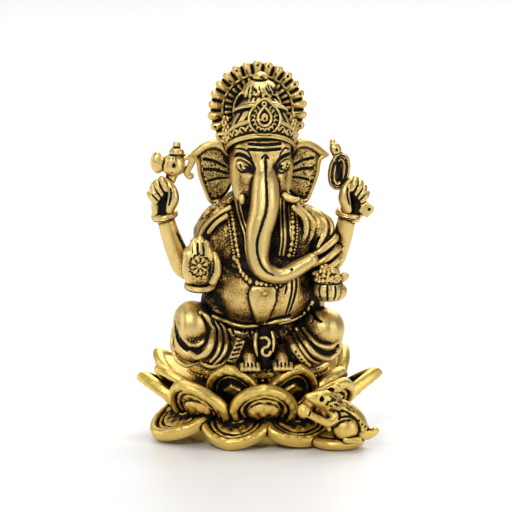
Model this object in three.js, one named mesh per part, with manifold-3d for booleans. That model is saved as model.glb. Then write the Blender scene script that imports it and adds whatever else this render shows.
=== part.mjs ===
// A small cast-metal seated Ganesha idol on a double lotus, with a mouse at its foot.
// Millimetres, +Z up, the figure faces -Y, and the origin is the middle of the flat underside.
import * as THREE from "three";
import { mergeVertices } from "three/addons/utils/BufferGeometryUtils.js";
import Module from "manifold-3d";

const wasm = await Module();
wasm.setup();

// ---- Driving dimensions ----
const GAP = 0.3; // clearance between neighbouring castings
const PETALS_PER_RING = 8;
const SEAT_TOP = 22.5; // height of the lotus seat
const CORE_DEPTH_SHARE = 0.8; // the lotus is an ellipse in plan
const HIPS = { at: [0, 1, 33], radii: [16, 11, 10] };
const BELLY = { at: [0.8, -3.5, 46], radii: [16, 13, 12.5] };
const CHEST = { at: [0.3, 0, 61], radii: [14.5, 11, 12] };
const HEAD = { at: [0.3, -3, 84.5], radii: [9.6, 10, 11.5] };
const CROWN_AXIS_Y = -2.5;
const CROWN_TILT = -24; // the band rises towards the forehead, in degrees
const HALO = { at: [0, 6, 100.1], notchRadius: 12.6, rayRadius: 15.2, thickness: 2.2, rays: 26 };

// Each ring of petals runs from a foot ellipse to a tip ellipse: [half width, half depth, height].
const LOWER_RING = { foot: [21, 17, 7.6], tip: [31.5, 26.5, 2.6], halfWidth: 10.4, thickness: 4.4, turn: 0.5 };
const OUTER_RING = { foot: [22.5, 18.5, 8.4], tip: [36.2, 28, 19.6], halfWidth: 9.6, thickness: 3.2, turn: 0 };
const INNER_RING = { foot: [20, 15.5, 13.5], tip: [29.5, 22, 25], halfWidth: 7.8, thickness: 2.8, turn: 0.5 };

// ---- Solids from three.js geometry ----
const UP = new THREE.Vector3(0, 1, 0);

function solidOf(geometry) {
  const plain = geometry.index ? geometry.toNonIndexed() : geometry.clone();
  plain.deleteAttribute("normal");
  plain.deleteAttribute("uv");
  const merged = mergeVertices(plain, 1e-4);
  return new wasm.Manifold(
    new wasm.Mesh({
      numProp: 3,
      vertProperties: merged.getAttribute("position").array,
      triVerts: new Uint32Array(merged.index.array),
    }),
  );
}

function joined(solids) {
  return solids.reduce((all, next) => all.add(next));
}

function turnedBy(geometry, degrees) {
  const euler = new THREE.Euler(...degrees.map(THREE.MathUtils.degToRad));
  return geometry.applyMatrix4(new THREE.Matrix4().makeRotationFromEuler(euler));
}

// An ellipsoid, turned by Euler angles in degrees.
function blob(at, radii, grow, turn = [0, 0, 0], segments = [12, 8]) {
  const geometry = new THREE.SphereGeometry(1, ...segments).rotateX(Math.PI / 2);
  geometry.scale(...radii.map((r) => r + grow));
  return solidOf(turnedBy(geometry, turn).translate(...at));
}

// A round-ended limb through [x, y, z, radius] stations: a turned bar bent along their line.
function limb(stations, grow, sides = 8) {
  const points = stations.map(([x, y, z]) => new THREE.Vector3(x, y, z));
  const last = points.length - 1;
  const radii = stations.map((station) => station[3] + grow);
  const profile = [new THREE.Vector2(0, -1), new THREE.Vector2(0.75 * radii[0], -0.66)];
  radii.forEach((r, i) => profile.push(new THREE.Vector2(r, i)));
  profile.push(new THREE.Vector2(0.75 * radii[last], last + 0.66), new THREE.Vector2(0, last + 1));
  const geometry = new THREE.LatheGeometry(profile, sides);

  const towards = (i) => points[i + 1].clone().sub(points[i]).normalize();
  const tangents = points.map((_, i) => {
    const before = towards(Math.max(i - 1, 0));
    const after = towards(Math.min(i, last - 1));
    return before.add(after).normalize();
  });
  const turns = [new THREE.Quaternion().setFromUnitVectors(UP, tangents[0])];
  for (let i = 1; i <= last; i++) {
    const step = new THREE.Quaternion().setFromUnitVectors(tangents[i - 1], tangents[i]);
    turns.push(step.multiply(turns[i - 1]));
  }
  const position = geometry.getAttribute("position");
  for (let v = 0; v < position.count; v++) {
    const y = position.getY(v);
    const i = Math.round(THREE.MathUtils.clamp(y, 0, last));
    const beyond = y < 0 ? y * radii[0] : y > last ? (y - last) * radii[last] : 0;
    const moved = new THREE.Vector3(position.getX(v), beyond, position.getZ(v));
    moved.applyQuaternion(turns[i]).add(points[i]);
    position.setXYZ(v, moved.x, moved.y, moved.z);
  }
  return solidOf(geometry);
}

// A turned solid about a vertical axis; profile is [radius, height] pairs that start and end on it.
function turned(profile, at, grow, segments) {
  const last = profile.length - 1;
  const points = profile.map(([r, z], i) => {
    const lift = i === 0 ? -grow : i === last ? grow : 0;
    return new THREE.Vector2(r ? r + grow : 0, z + lift);
  });
  return solidOf(new THREE.LatheGeometry(points, segments).rotateX(Math.PI / 2).translate(...at));
}

// A ring with a rectangular section.
function hoop(inner, outer, height, at, grow, segments, turn) {
  const half = height / 2 + grow;
  const corners = [[inner - grow, -half], [outer + grow, -half], [outer + grow, half], [inner - grow, half]];
  const profile = [...corners, corners[0]].map(([r, z]) => new THREE.Vector2(r, z));
  const geometry = new THREE.LatheGeometry(profile, segments).rotateX(Math.PI / 2);
  return solidOf(turnedBy(geometry, turn).translate(...at));
}

// ---- The pieces, in order: a piece is cut back from every one before it ----
const pieces = [];
function piece(group, name, shape) {
  pieces.push({ group, name, shape });
}

const mirrored = ([x, ...rest]) => [-x, ...rest];

// A leaf-shaped petal that runs from the foot ellipse to the tip ellipse.
function petal(ring, angle, grow) {
  const onEllipse = ([halfWidth, halfDepth, z]) =>
    new THREE.Vector3(halfWidth * Math.cos(angle), halfDepth * Math.sin(angle), z);
  const foot = onEllipse(ring.foot);
  const tip = onEllipse(ring.tip);
  const along = tip.clone().sub(foot);
  const halfLength = along.length() / 2 + 1.2;
  along.normalize();
  const across = new THREE.Vector3(-Math.sin(angle), Math.cos(angle), 0);
  const normal = new THREE.Vector3().crossVectors(along, across).normalize();
  const frame = new THREE.Matrix4().makeBasis(across, normal, along);
  const geometry = new THREE.SphereGeometry(1, 10, 6).rotateX(Math.PI / 2);
  geometry.scale(ring.halfWidth + grow, ring.thickness / 2 + grow, halfLength + grow);
  const middle = foot.add(tip).multiplyScalar(0.5);
  return solidOf(geometry.applyMatrix4(frame).translate(middle.x, middle.y, middle.z));
}

function petalRing(prefix, ring) {
  for (let i = 0; i < PETALS_PER_RING; i++) {
    const angle = ((i + ring.turn) / PETALS_PER_RING) * 2 * Math.PI - Math.PI / 2;
    piece("lotus", `${prefix}_${i + 1}`, (grow) => petal(ring, angle, grow));
  }
}

// The large castings that the others are fitted to.
piece("lotus", "lotus_core", (g) => {
  const outline = [[25, 0], [23.5, 6], [22, 10], [23.5, 15], [25, 20], [24.5, SEAT_TOP]];
  const profile = outline.map(([r, z]) => new THREE.Vector2(r + g, z));
  const points = [new THREE.Vector2(0, 0), ...profile, new THREE.Vector2(0, SEAT_TOP)];
  points.forEach((point) => (point.y += point.y === SEAT_TOP ? g : 0));
  const geometry = new THREE.LatheGeometry(points, 24).rotateX(Math.PI / 2);
  return solidOf(geometry.scale(1, CORE_DEPTH_SHARE, 1));
});
piece("figure", "torso", (g) =>
  joined([
    blob(HIPS.at, HIPS.radii, g, [0, 0, 0], [12, 8]),
    blob(BELLY.at, BELLY.radii, g, [0, 0, 0], [14, 10]),
    blob(CHEST.at, CHEST.radii, g, [0, 0, 0], [12, 8]),
    blob([0.2, 0.5, 72], [8, 7.5, 7], g, [0, 0, 0], [10, 6]),
  ]),
);
piece("head", "head_shell", (g) =>
  joined([
    blob(HEAD.at, HEAD.radii, g, [0, 0, 0], [14, 10]),
    blob([-5.8, -7, 76.8], [3.6, 4, 5.4], g, [0, 0, 0], [8, 6]),
    blob([7, -7, 76.8], [3.4, 4, 5.4], g, [0, 0, 0], [8, 6]),
  ]),
);
const CROWN_PROFILE = [
  [0, 92], [9.6, 92], [10, 96], [9, 100], [7.4, 103], [7.8, 104], [6.6, 105.4], [5, 108.6],
  [2.2, 110], [2.2, 111.6], [0, 113.4],
];
piece("head", "crown", (g) => turned(CROWN_PROFILE, [0.3, CROWN_AXIS_Y, 0], g, 14));

// Trunk, tusks, ears and what the head wears.
const TRUNK_LINE = [
  [1.2, -9, 89, 4.7], [1.3, -12.4, 81, 4.3], [1.2, -14, 74, 4], [-0.4, -15, 67.4, 3.8],
  [-1.6, -15.8, 61.4, 3.5], [-1.2, -16.5, 57.4, 3.3], [0.9, -17, 55, 3.1], [4.2, -17.3, 54.2, 2.8],
  [8.6, -17.3, 55.2, 2.5], [15.2, -16.6, 57.6, 2],
];
piece("head", "trunk", (g) => limb(TRUNK_LINE, g, 9));
piece("head", "right_tusk", (g) => limb([[-4.9, -11.4, 76.4, 1.4], [-6, -13.4, 72.8, 0.9]], g, 7));
piece("head", "left_tusk", (g) => limb([[6.4, -11, 75.4, 1.5], [10.8, -12.6, 74.4, 0.9]], g, 7));
piece("head", "crown_band", (g) =>
  hoop(8.6, 11.8, 4.4, [0.3, CROWN_AXIS_Y, 93.4], g, 16, [CROWN_TILT, 0, 0]),
);
piece("head", "crown_plaque", (g) => blob([0.9, -12.4, 99.2], [4.6, 1.5, 5.2], g, [-14, 0, 0], [10, 7]));
const EAR = { at: [15.6, 0.6, 81.6], radii: [6.2, 1.5, 10.4], turn: [0, 10, -10] };
const EAR_RIM = [[11.5, 0, 89.4, 1.2], [16, 0, 90.6, 1.2], [21.2, 0.4, 86.6, 0.9]];
piece("head", "left_ear", (g) =>
  joined([blob(EAR.at, EAR.radii, g, EAR.turn, [12, 8]), limb(EAR_RIM, g, 6)]),
);
piece("head", "right_ear", (g) => {
  const turn = [EAR.turn[0], -EAR.turn[1], -EAR.turn[2]];
  return joined([blob(mirrored(EAR.at), EAR.radii, g, turn, [12, 8]), limb(EAR_RIM.map(mirrored), g, 6)]);
});
piece("head", "halo", (g) => {
  const { at, notchRadius, rayRadius, thickness, rays } = HALO;
  const outline = [];
  for (let i = 0; i < rays; i++) {
    for (const [share, radius] of [[0, notchRadius], [0.22, rayRadius - 0.9], [0.5, rayRadius], [0.78, rayRadius - 0.9]]) {
      const angle = ((i + share) / rays) * 2 * Math.PI;
      outline.push(new THREE.Vector2(Math.cos(angle), Math.sin(angle)).multiplyScalar(radius + g));
    }
  }
  const depth = thickness + 2 * g;
  const geometry = new THREE.ExtrudeGeometry(new THREE.Shape(outline), { depth, bevelEnabled: false });
  return solidOf(geometry.translate(0, 0, -depth / 2).rotateX(Math.PI / 2).translate(...at));
});

// Arms, bangles, hands and what they hold. The right side of the figure is at -X.
piece("figure", "front_right_arm", (g) =>
  limb(
    [[-14.6, -2.5, 64, 4], [-18.6, -4, 54, 3.7], [-19.4, -5.5, 48.6, 3.5], [-19.2, -9.5, 46, 3], [-19.1, -14, 48.6, 2.3]],
    g,
  ),
);
piece("figure", "front_left_arm", (g) =>
  limb([[15.4, -2.5, 63, 4], [20, -4, 53, 3.6], [21.2, -6, 48.4, 3.3], [21.8, -10.4, 46.6, 2.8]], g),
);
piece("figure", "rear_right_arm", (g) =>
  limb(
    [[-15, 4, 65, 3.6], [-21, 2.4, 55, 3.5], [-23.4, 1, 51.6, 3.3], [-25.4, -0.6, 55, 3.1], [-28.2, -3, 65.2, 2.4], [-28.9, -3.6, 70, 1.9]],
    g,
  ),
);
piece("figure", "rear_left_arm", (g) =>
  limb(
    [[15.6, 4, 65, 3.6], [20.8, 2.4, 56, 3.5], [23, 1, 52.4, 3.2], [24.6, -0.6, 55.6, 3], [26.4, -3, 65.2, 2.3], [27, -3.6, 69.6, 1.9]],
    g,
  ),
);
piece("figure", "rear_right_hand", (g) =>
  joined([
    blob([-29.5, -4, 75], [4, 2.6, 5.2], g, [0, 12, 0], [10, 7]),
    limb([[-27, -6, 72, 1.7], [-27.2, -6.5, 77.5, 1.4]], g, 6),
  ]),
);
piece("figure", "rear_left_hand", (g) =>
  joined([
    blob([28.2, -4, 74.6], [3.9, 2.7, 5], g, [0, -12, 0], [10, 7]),
    limb([[25.6, -6, 71.6, 1.6], [25.6, -6.5, 76, 1.3]], g, 6),
  ]),
);
piece("figure", "front_right_hand", (g) =>
  joined([
    blob([-19.2, -14.6, 53], [5, 2.4, 4.8], g, [0, 0, 0], [10, 7]),
    blob([-19.6, -14.2, 58.8], [4.4, 1.9, 5.2], g, [0, 0, 0], [10, 7]),
    limb([[-15.2, -15, 51.6, 1.8], [-13.6, -15.4, 56.4, 1.3]], g, 6),
  ]),
);
piece("figure", "front_left_hand", (g) =>
  joined([
    blob([22, -11.8, 46], [4.4, 3.8, 2.6], g, [0, 0, 0], [10, 7]),
    limb([[25, -13, 47.4, 1.5], [25.4, -14.8, 50.6, 1.2]], g, 6),
  ]),
);
piece("figure", "rear_right_bangle", (g) => hoop(2.2, 4.3, 2.4, [-28.9, -3.6, 68.2], g, 12, [10, 8, 0]));
piece("figure", "rear_left_bangle", (g) => hoop(2.1, 4.1, 2.2, [27, -3.6, 67.9], g, 12, [10, -10, 0]));
piece("figure", "front_right_bangle", (g) => hoop(2.2, 4.7, 2, [-19.1, -13.8, 47.6], g, 12, [24, 0, 0]));
piece("figure", "axe", (g) =>
  joined([
    blob([-26.3, -5, 85], [4, 2.9, 3.8], g, [0, 0, 0], [10, 7]),
    blob([-31, -5, 85.2], [1.7, 2.4, 3.1], g, [0, 0, 0], [8, 6]),
    limb([[-25.2, -5, 88, 2.1], [-24.8, -5, 91.3, 1]], g, 7),
    limb([[-23, -5, 86.6, 0.9], [-20.4, -5, 85.8, 0.9], [-21.6, -5, 82, 1]], g, 6),
    limb([[-26.5, -5, 83, 1.6], [-27.8, -4.8, 79.8, 1.3]], g, 7),
  ]),
);
piece("figure", "noose", (g) => {
  const loop = new THREE.TorusGeometry(3.1, 1.35 + g, 6, 14).scale(0.8, 1.35, 1);
  loop.rotateX(Math.PI / 2).rotateY(THREE.MathUtils.degToRad(14)).translate(24.3, -5, 82.4);
  return joined([
    solidOf(loop),
    limb([[22.8, -5, 87.4, 1.5], [21.9, -5, 90.6, 0.9]], g, 7),
    limb([[25.2, -5, 78.6, 1.3], [27.4, -7.2, 76, 1.2], [31.2, -7.4, 72.6, 1.2], [33.4, -6.4, 70.2, 1.5]], g, 6),
  ]);
});
piece("figure", "modak_bowl", (g) =>
  joined([
    turned([[0, 43.6], [2.6, 43.9], [4.1, 46], [4, 48.8], [0, 49.6]], [20, -14.9, 0], g, 10),
    blob([20.6, -14.6, 51], [3.2, 2.8, 2.3], g, [0, 0, 0], [8, 6]),
    blob([20.8, -14.2, 53.8], [1.7, 1.6, 1.7], g, [0, 0, 0], [7, 5]),
  ]),
);

// Drapery and ornaments that lie over the body.
piece("figure", "shawl", (g) =>
  limb(
    [
      [-18.8, -4.6, 60.6, 2.4], [-16.4, -2, 66.4, 3], [-10.4, 3, 71.4, 2.6], [0, 6.4, 72.4, 2.6],
      [12, 2.4, 71, 3], [17.8, -2.4, 66, 3.4], [20.6, -5.4, 60.5, 3.2], [18.8, -8, 56, 2.2],
    ],
    g,
  ),
);
piece("figure", "necklace", (g) =>
  limb(
    [
      [-8.6, -7.4, 72, 1.4], [-8.8, -10.6, 64, 1.4], [-7.4, -13.2, 56.6, 1.4], [-3, -16, 51.6, 1.4],
      [3.2, -16.6, 50.8, 1.4], [8.4, -13.6, 56, 1.4], [9.4, -10.6, 64, 1.4], [9.4, -7.4, 72, 1.4],
    ],
    g,
    7,
  ),
);
piece("figure", "belly_pendant", (g) => blob([0.9, -16.6, 43.6], [3.8, 1.5, 5], g, [8, 0, 0], [10, 7]));

// Legs under the dhoti, the feet and the pleat that hangs between them.
piece("figure", "right_foot", (g) => blob([-4, -18.4, 25.3], [3, 4.6, 2.5], g, [0, 0, 18], [10, 6]));
piece("figure", "left_foot", (g) => blob([6, -18.4, 25.3], [3.2, 4.6, 2.5], g, [0, 0, -12], [10, 6]));
piece("figure", "right_leg", (g) =>
  limb([[-12, 2, 32, 6.5], [-19.6, -5.4, 36.8, 6.4], [-21, -9.6, 33.4, 5.6], [-17, -12.4, 29.2, 4.6], [-9, -15.5, 27.6, 3.7]], g, 9),
);
piece("figure", "left_leg", (g) =>
  limb([[12, 2, 32, 6.5], [18.8, -5.4, 35.2, 5.9], [20.4, -9.2, 32.4, 5.3], [17.6, -12, 29.2, 4.6], [11, -15.5, 27.6, 3.7]], g, 9),
);
piece("figure", "waist_pleat", (g) => limb([[0.8, -14.8, 33, 2.4], [0.9, -16.8, 29, 2.2], [1, -17.8, 26, 1.5]], g, 7));

// The mouse and the petal that it crouches on.
piece("mouse", "mouse_plinth_petal", (g) => blob([22.4, -23.2, 2.6], [8.2, 8, 2.6], g, [0, 0, -12], [12, 6]));
piece("mouse", "mouse", (g) =>
  joined([
    blob([23.5, -26.5, 10.3], [6.2, 4.2, 4.9], g, [0, 35, 0], [10, 7]),
    blob([23.8, -28.8, 8.2], [3.8, 2.4, 3.4], g, [0, 0, 0], [8, 6]),
    limb([[21.5, -27.4, 14.6, 2.8], [17, -29, 16.8, 2.3], [12, -30, 18.6, 0.8]], g, 7),
    limb([[19.5, -28.6, 12.2, 1.6], [16.2, -30, 11, 1.3], [13.4, -30, 12.4, 1]], g, 6),
    limb([[27.5, -26, 8, 1.6], [32, -23.5, 6.4, 1.1]], g, 6),
    blob([11.6, -30, 13.8], [2, 2, 2], g, [0, 0, 0], [8, 6]),
  ]),
);

petalRing("inner_petal", INNER_RING);
petalRing("outer_petal", OUTER_RING);
petalRing("lower_petal", LOWER_RING);

// ---- Assembly ----
const LOOKS = {
  lotus: { color: 0xc9a045, roughness: 0.32 },
  mouse: { color: 0xcba24a, roughness: 0.34 },
  figure: { color: 0xcfa851, roughness: 0.3 },
  head: { color: 0xd2ab54, roughness: 0.3 },
};

const touches = (a, b) => a.min.every((low, k) => low < b.max[k] && b.min[k] < a.max[k]);

function largest(solid) {
  return solid.decompose().sort((a, b) => b.volume() - a.volume())[0];
}

function meshOf(solid, name, look) {
  const made = solid.getMesh();
  const geometry = new THREE.BufferGeometry();
  geometry.setAttribute("position", new THREE.BufferAttribute(new Float32Array(made.vertProperties), 3));
  geometry.setIndex(new THREE.BufferAttribute(new Uint32Array(made.triVerts), 1));
  geometry.computeBoundingBox();
  const middle = geometry.boundingBox.getCenter(new THREE.Vector3());
  geometry.translate(-middle.x, -middle.y, -middle.z);
  const mesh = new THREE.Mesh(geometry, new THREE.MeshStandardMaterial({ metalness: 1, ...look }));
  mesh.name = name;
  mesh.position.copy(middle);
  return mesh;
}

const idol = new THREE.Group();
const groups = {};
for (const name of Object.keys(LOOKS)) {
  groups[name] = new THREE.Group();
  idol.add(groups[name]);
}

const GROUND_SIDE = 200;
const ground = solidOf(new THREE.BoxGeometry(GROUND_SIDE, GROUND_SIDE, 50).translate(0, 0, -25));
const placed = [];
for (const { group, name, shape } of pieces) {
  let solid = shape(0).subtract(ground);
  const own = solid.boundingBox();
  for (const grown of placed) {
    if (touches(own, grown.boundingBox())) solid = solid.subtract(grown);
  }
  placed.push(shape(GAP));
  groups[group].add(meshOf(largest(solid), name, LOOKS[group]));
}

export default idol;
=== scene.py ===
"""The looks of a small cast-metal Ganesha idol, sculpted as signed-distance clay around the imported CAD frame.

Every piece is modelled in millimetres in the frame's own axes (+Z up, the figure faces -Y), then scaled.
"""
import math
from concurrent.futures import ThreadPoolExecutor
from functools import partial

import bpy
import numpy as np
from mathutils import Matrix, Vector


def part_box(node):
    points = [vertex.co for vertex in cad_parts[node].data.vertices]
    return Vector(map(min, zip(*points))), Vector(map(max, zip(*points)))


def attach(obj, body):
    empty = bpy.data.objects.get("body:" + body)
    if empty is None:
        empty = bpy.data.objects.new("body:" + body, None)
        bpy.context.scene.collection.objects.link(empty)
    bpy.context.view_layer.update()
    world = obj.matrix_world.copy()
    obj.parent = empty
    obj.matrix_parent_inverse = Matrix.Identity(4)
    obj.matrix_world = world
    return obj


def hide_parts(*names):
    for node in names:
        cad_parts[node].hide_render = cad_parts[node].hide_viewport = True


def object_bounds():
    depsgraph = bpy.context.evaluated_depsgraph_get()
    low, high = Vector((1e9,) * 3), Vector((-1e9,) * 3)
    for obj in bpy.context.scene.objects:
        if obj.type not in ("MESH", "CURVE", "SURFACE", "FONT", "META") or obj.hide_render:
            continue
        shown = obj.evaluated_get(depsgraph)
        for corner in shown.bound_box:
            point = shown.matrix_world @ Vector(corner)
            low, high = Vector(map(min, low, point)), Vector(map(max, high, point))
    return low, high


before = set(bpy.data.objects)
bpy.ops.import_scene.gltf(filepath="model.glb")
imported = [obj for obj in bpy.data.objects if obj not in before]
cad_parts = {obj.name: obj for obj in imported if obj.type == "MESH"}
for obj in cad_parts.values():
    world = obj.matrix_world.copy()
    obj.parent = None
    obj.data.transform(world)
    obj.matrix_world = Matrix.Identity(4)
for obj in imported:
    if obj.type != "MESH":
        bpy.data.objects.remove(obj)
cad_low, cad_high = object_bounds()

MM = 0.001
FAR = 4.0  # how far from its surface a piece's distances are kept, in mm
FINE, MEDIUM, COARSE = 0.17, 0.21, 0.25  # voxel sizes, in mm


# ---------------------------------------------------------------- shapes
# A shape is (lowest corner, highest corner, distance function of x, y, z), all in mm, or else a Limb.


def smooth_min(a, b, k):
    """The smaller of two distances, with the corner between them rounded over k mm."""
    if k <= 0:
        return np.minimum(a, b)
    share = np.clip(0.5 + 0.5 * (b - a) / k, 0, 1)
    return b + (a - b) * share - k * share * (1 - share)


def rotation(degrees):
    """The matrix of a turn about X, then Y, then Z."""
    rx, ry, rz = np.radians(degrees)
    about_x = np.array([[1, 0, 0], [0, math.cos(rx), -math.sin(rx)], [0, math.sin(rx), math.cos(rx)]])
    about_y = np.array([[math.cos(ry), 0, math.sin(ry)], [0, 1, 0], [-math.sin(ry), 0, math.cos(ry)]])
    about_z = np.array([[math.cos(rz), -math.sin(rz), 0], [math.sin(rz), math.cos(rz), 0], [0, 0, 1]])
    return about_z @ about_y @ about_x


def local(x, y, z, at, turn):
    """Coordinates measured from at, turned back by turn."""
    dx, dy, dz = x - at[0], y - at[1], z - at[2]
    if turn is None:
        return dx, dy, dz
    m = turn
    return (
        m[0, 0] * dx + m[1, 0] * dy + m[2, 0] * dz,
        m[0, 1] * dx + m[1, 1] * dy + m[2, 1] * dz,
        m[0, 2] * dx + m[1, 2] * dy + m[2, 2] * dz,
    )


def blob(at, radii, turn=None):
    """An ellipsoid, or a ball where radii is one number."""
    at = np.array(at, float)
    radii = np.array(radii, float) * np.ones(3)
    m = None if turn is None else rotation(turn)
    reach = radii.max() if turn is not None else radii

    def distance(x, y, z):
        px, py, pz = local(x, y, z, at, m)
        near = np.sqrt((px / radii[0]) ** 2 + (py / radii[1]) ** 2 + (pz / radii[2]) ** 2)
        slope = np.sqrt((px / radii[0] ** 2) ** 2 + (py / radii[1] ** 2) ** 2 + (pz / radii[2] ** 2) ** 2)
        return near * (near - 1) / np.maximum(slope, 1e-6)

    return at - reach, at + reach, distance


def block(at, half, turn=None, soft=0.3):
    """A box with rounded edges."""
    at, half = np.array(at, float), np.array(half, float)
    m = None if turn is None else rotation(turn)
    reach = half if turn is None else np.ones(3) * np.linalg.norm(half)

    def distance(x, y, z):
        p = local(x, y, z, at, m)
        q = [np.abs(p[k]) - half[k] + soft for k in range(3)]
        outside = np.sqrt(sum(np.maximum(v, 0) ** 2 for v in q))
        return outside + np.minimum(np.maximum(q[0], np.maximum(q[1], q[2])), 0) - soft

    return at - reach, at + reach, distance


def ring(at, radius, thick, turn=None, flatten=1.0):
    """A torus about its own Z axis; flatten scales its thickness along that axis."""
    at = np.array(at, float)
    m = None if turn is None else rotation(turn)
    reach = radius + thick

    def distance(x, y, z):
        px, py, pz = local(x, y, z, at, m)
        return np.sqrt((np.sqrt(px**2 + py**2) - radius) ** 2 + (pz / flatten) ** 2) - thick

    return at - reach, at + reach, distance


def turned(profile, at, squash_y=1.0, turn=None):
    """A turned solid: profile is (radius, height) pairs from its bottom to its top, closed on the axis."""
    at = np.array(at, float)
    m = None if turn is None else rotation(turn)
    points = np.array([(0, profile[0][1]), *profile, (0, profile[-1][1])], float)
    reach = np.abs(points).max() + 0.5

    def distance(x, y, z):
        px, py, pz = local(x, y, z, at, m)
        r = np.sqrt(px**2 + (py / squash_y) ** 2)
        return polygon_distance(points, r, pz, closed=False) * min(1.0, squash_y)

    return at - reach, at + reach, distance


def polygon_distance(points, u, v, closed=True):
    """Signed distance from (u, v) to a polygon, negative inside; closed=False leaves out the last side."""
    u, v = np.broadcast_arrays(np.asarray(u, np.float32), np.asarray(v, np.float32))
    best = np.full(u.shape, 1e9, np.float32)
    inside = np.zeros(u.shape, bool)
    count = len(points)
    for i in range(count):
        ax, ay = points[i]
        bx, by = points[(i + 1) % count]
        ex, ey = bx - ax, by - ay
        if closed or i < count - 1:
            t = np.clip(((u - ax) * ex + (v - ay) * ey) / max(ex * ex + ey * ey, 1e-9), 0, 1)
            best = np.minimum(best, (u - ax - t * ex) ** 2 + (v - ay - t * ey) ** 2)
        if ay != by:
            crosses = ((ay > v) != (by > v)) & (u < (bx - ax) * (v - ay) / (by - ay) + ax)
            inside ^= crosses
    return np.where(inside, -1, 1) * np.sqrt(best)


def curve(points, steps=6, closed=False):
    """A smooth line through the points (rows of any width), with that many steps between two of them."""
    p = np.array(points, float)
    p = np.vstack([p[-1], p, p[:2]]) if closed else np.vstack([2 * p[0] - p[1], p, 2 * p[-1] - p[-2]])
    out = []
    for i in range(1, len(p) - 2):
        for t in np.arange(steps) / steps:
            a, b, c, d = p[i - 1 : i + 3]
            bend = (2 * a - 5 * b + 4 * c - d) * t**2
            out.append(0.5 * (2 * b + (c - a) * t + bend + (3 * b - a - 3 * c + d) * t**3))
    if not closed:
        out.append(p[-2])
    return np.array(out)


class Limb:
    """A round bar through rows of x, y, z, radius; steps=0 keeps the rows as they are, without smoothing."""

    def __init__(self, rows, steps=6, closed=False):
        self.rows = curve(rows, steps, closed) if steps else np.array(rows, float)
        if closed:
            self.rows = np.vstack([self.rows, self.rows[:1]])
        radius = self.rows[:, 3:4]
        self.low = (self.rows[:, :3] - radius).min(0)
        self.high = (self.rows[:, :3] + radius).max(0)


def thread(points, radius, steps=6, closed=False):
    """A limb of one radius through rows of x, y, z."""
    p = np.array(points, float)
    return Limb(np.hstack([p, np.full((len(p), 1), radius)]), steps, closed)


# ---------------------------------------------------------------- clay


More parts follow.
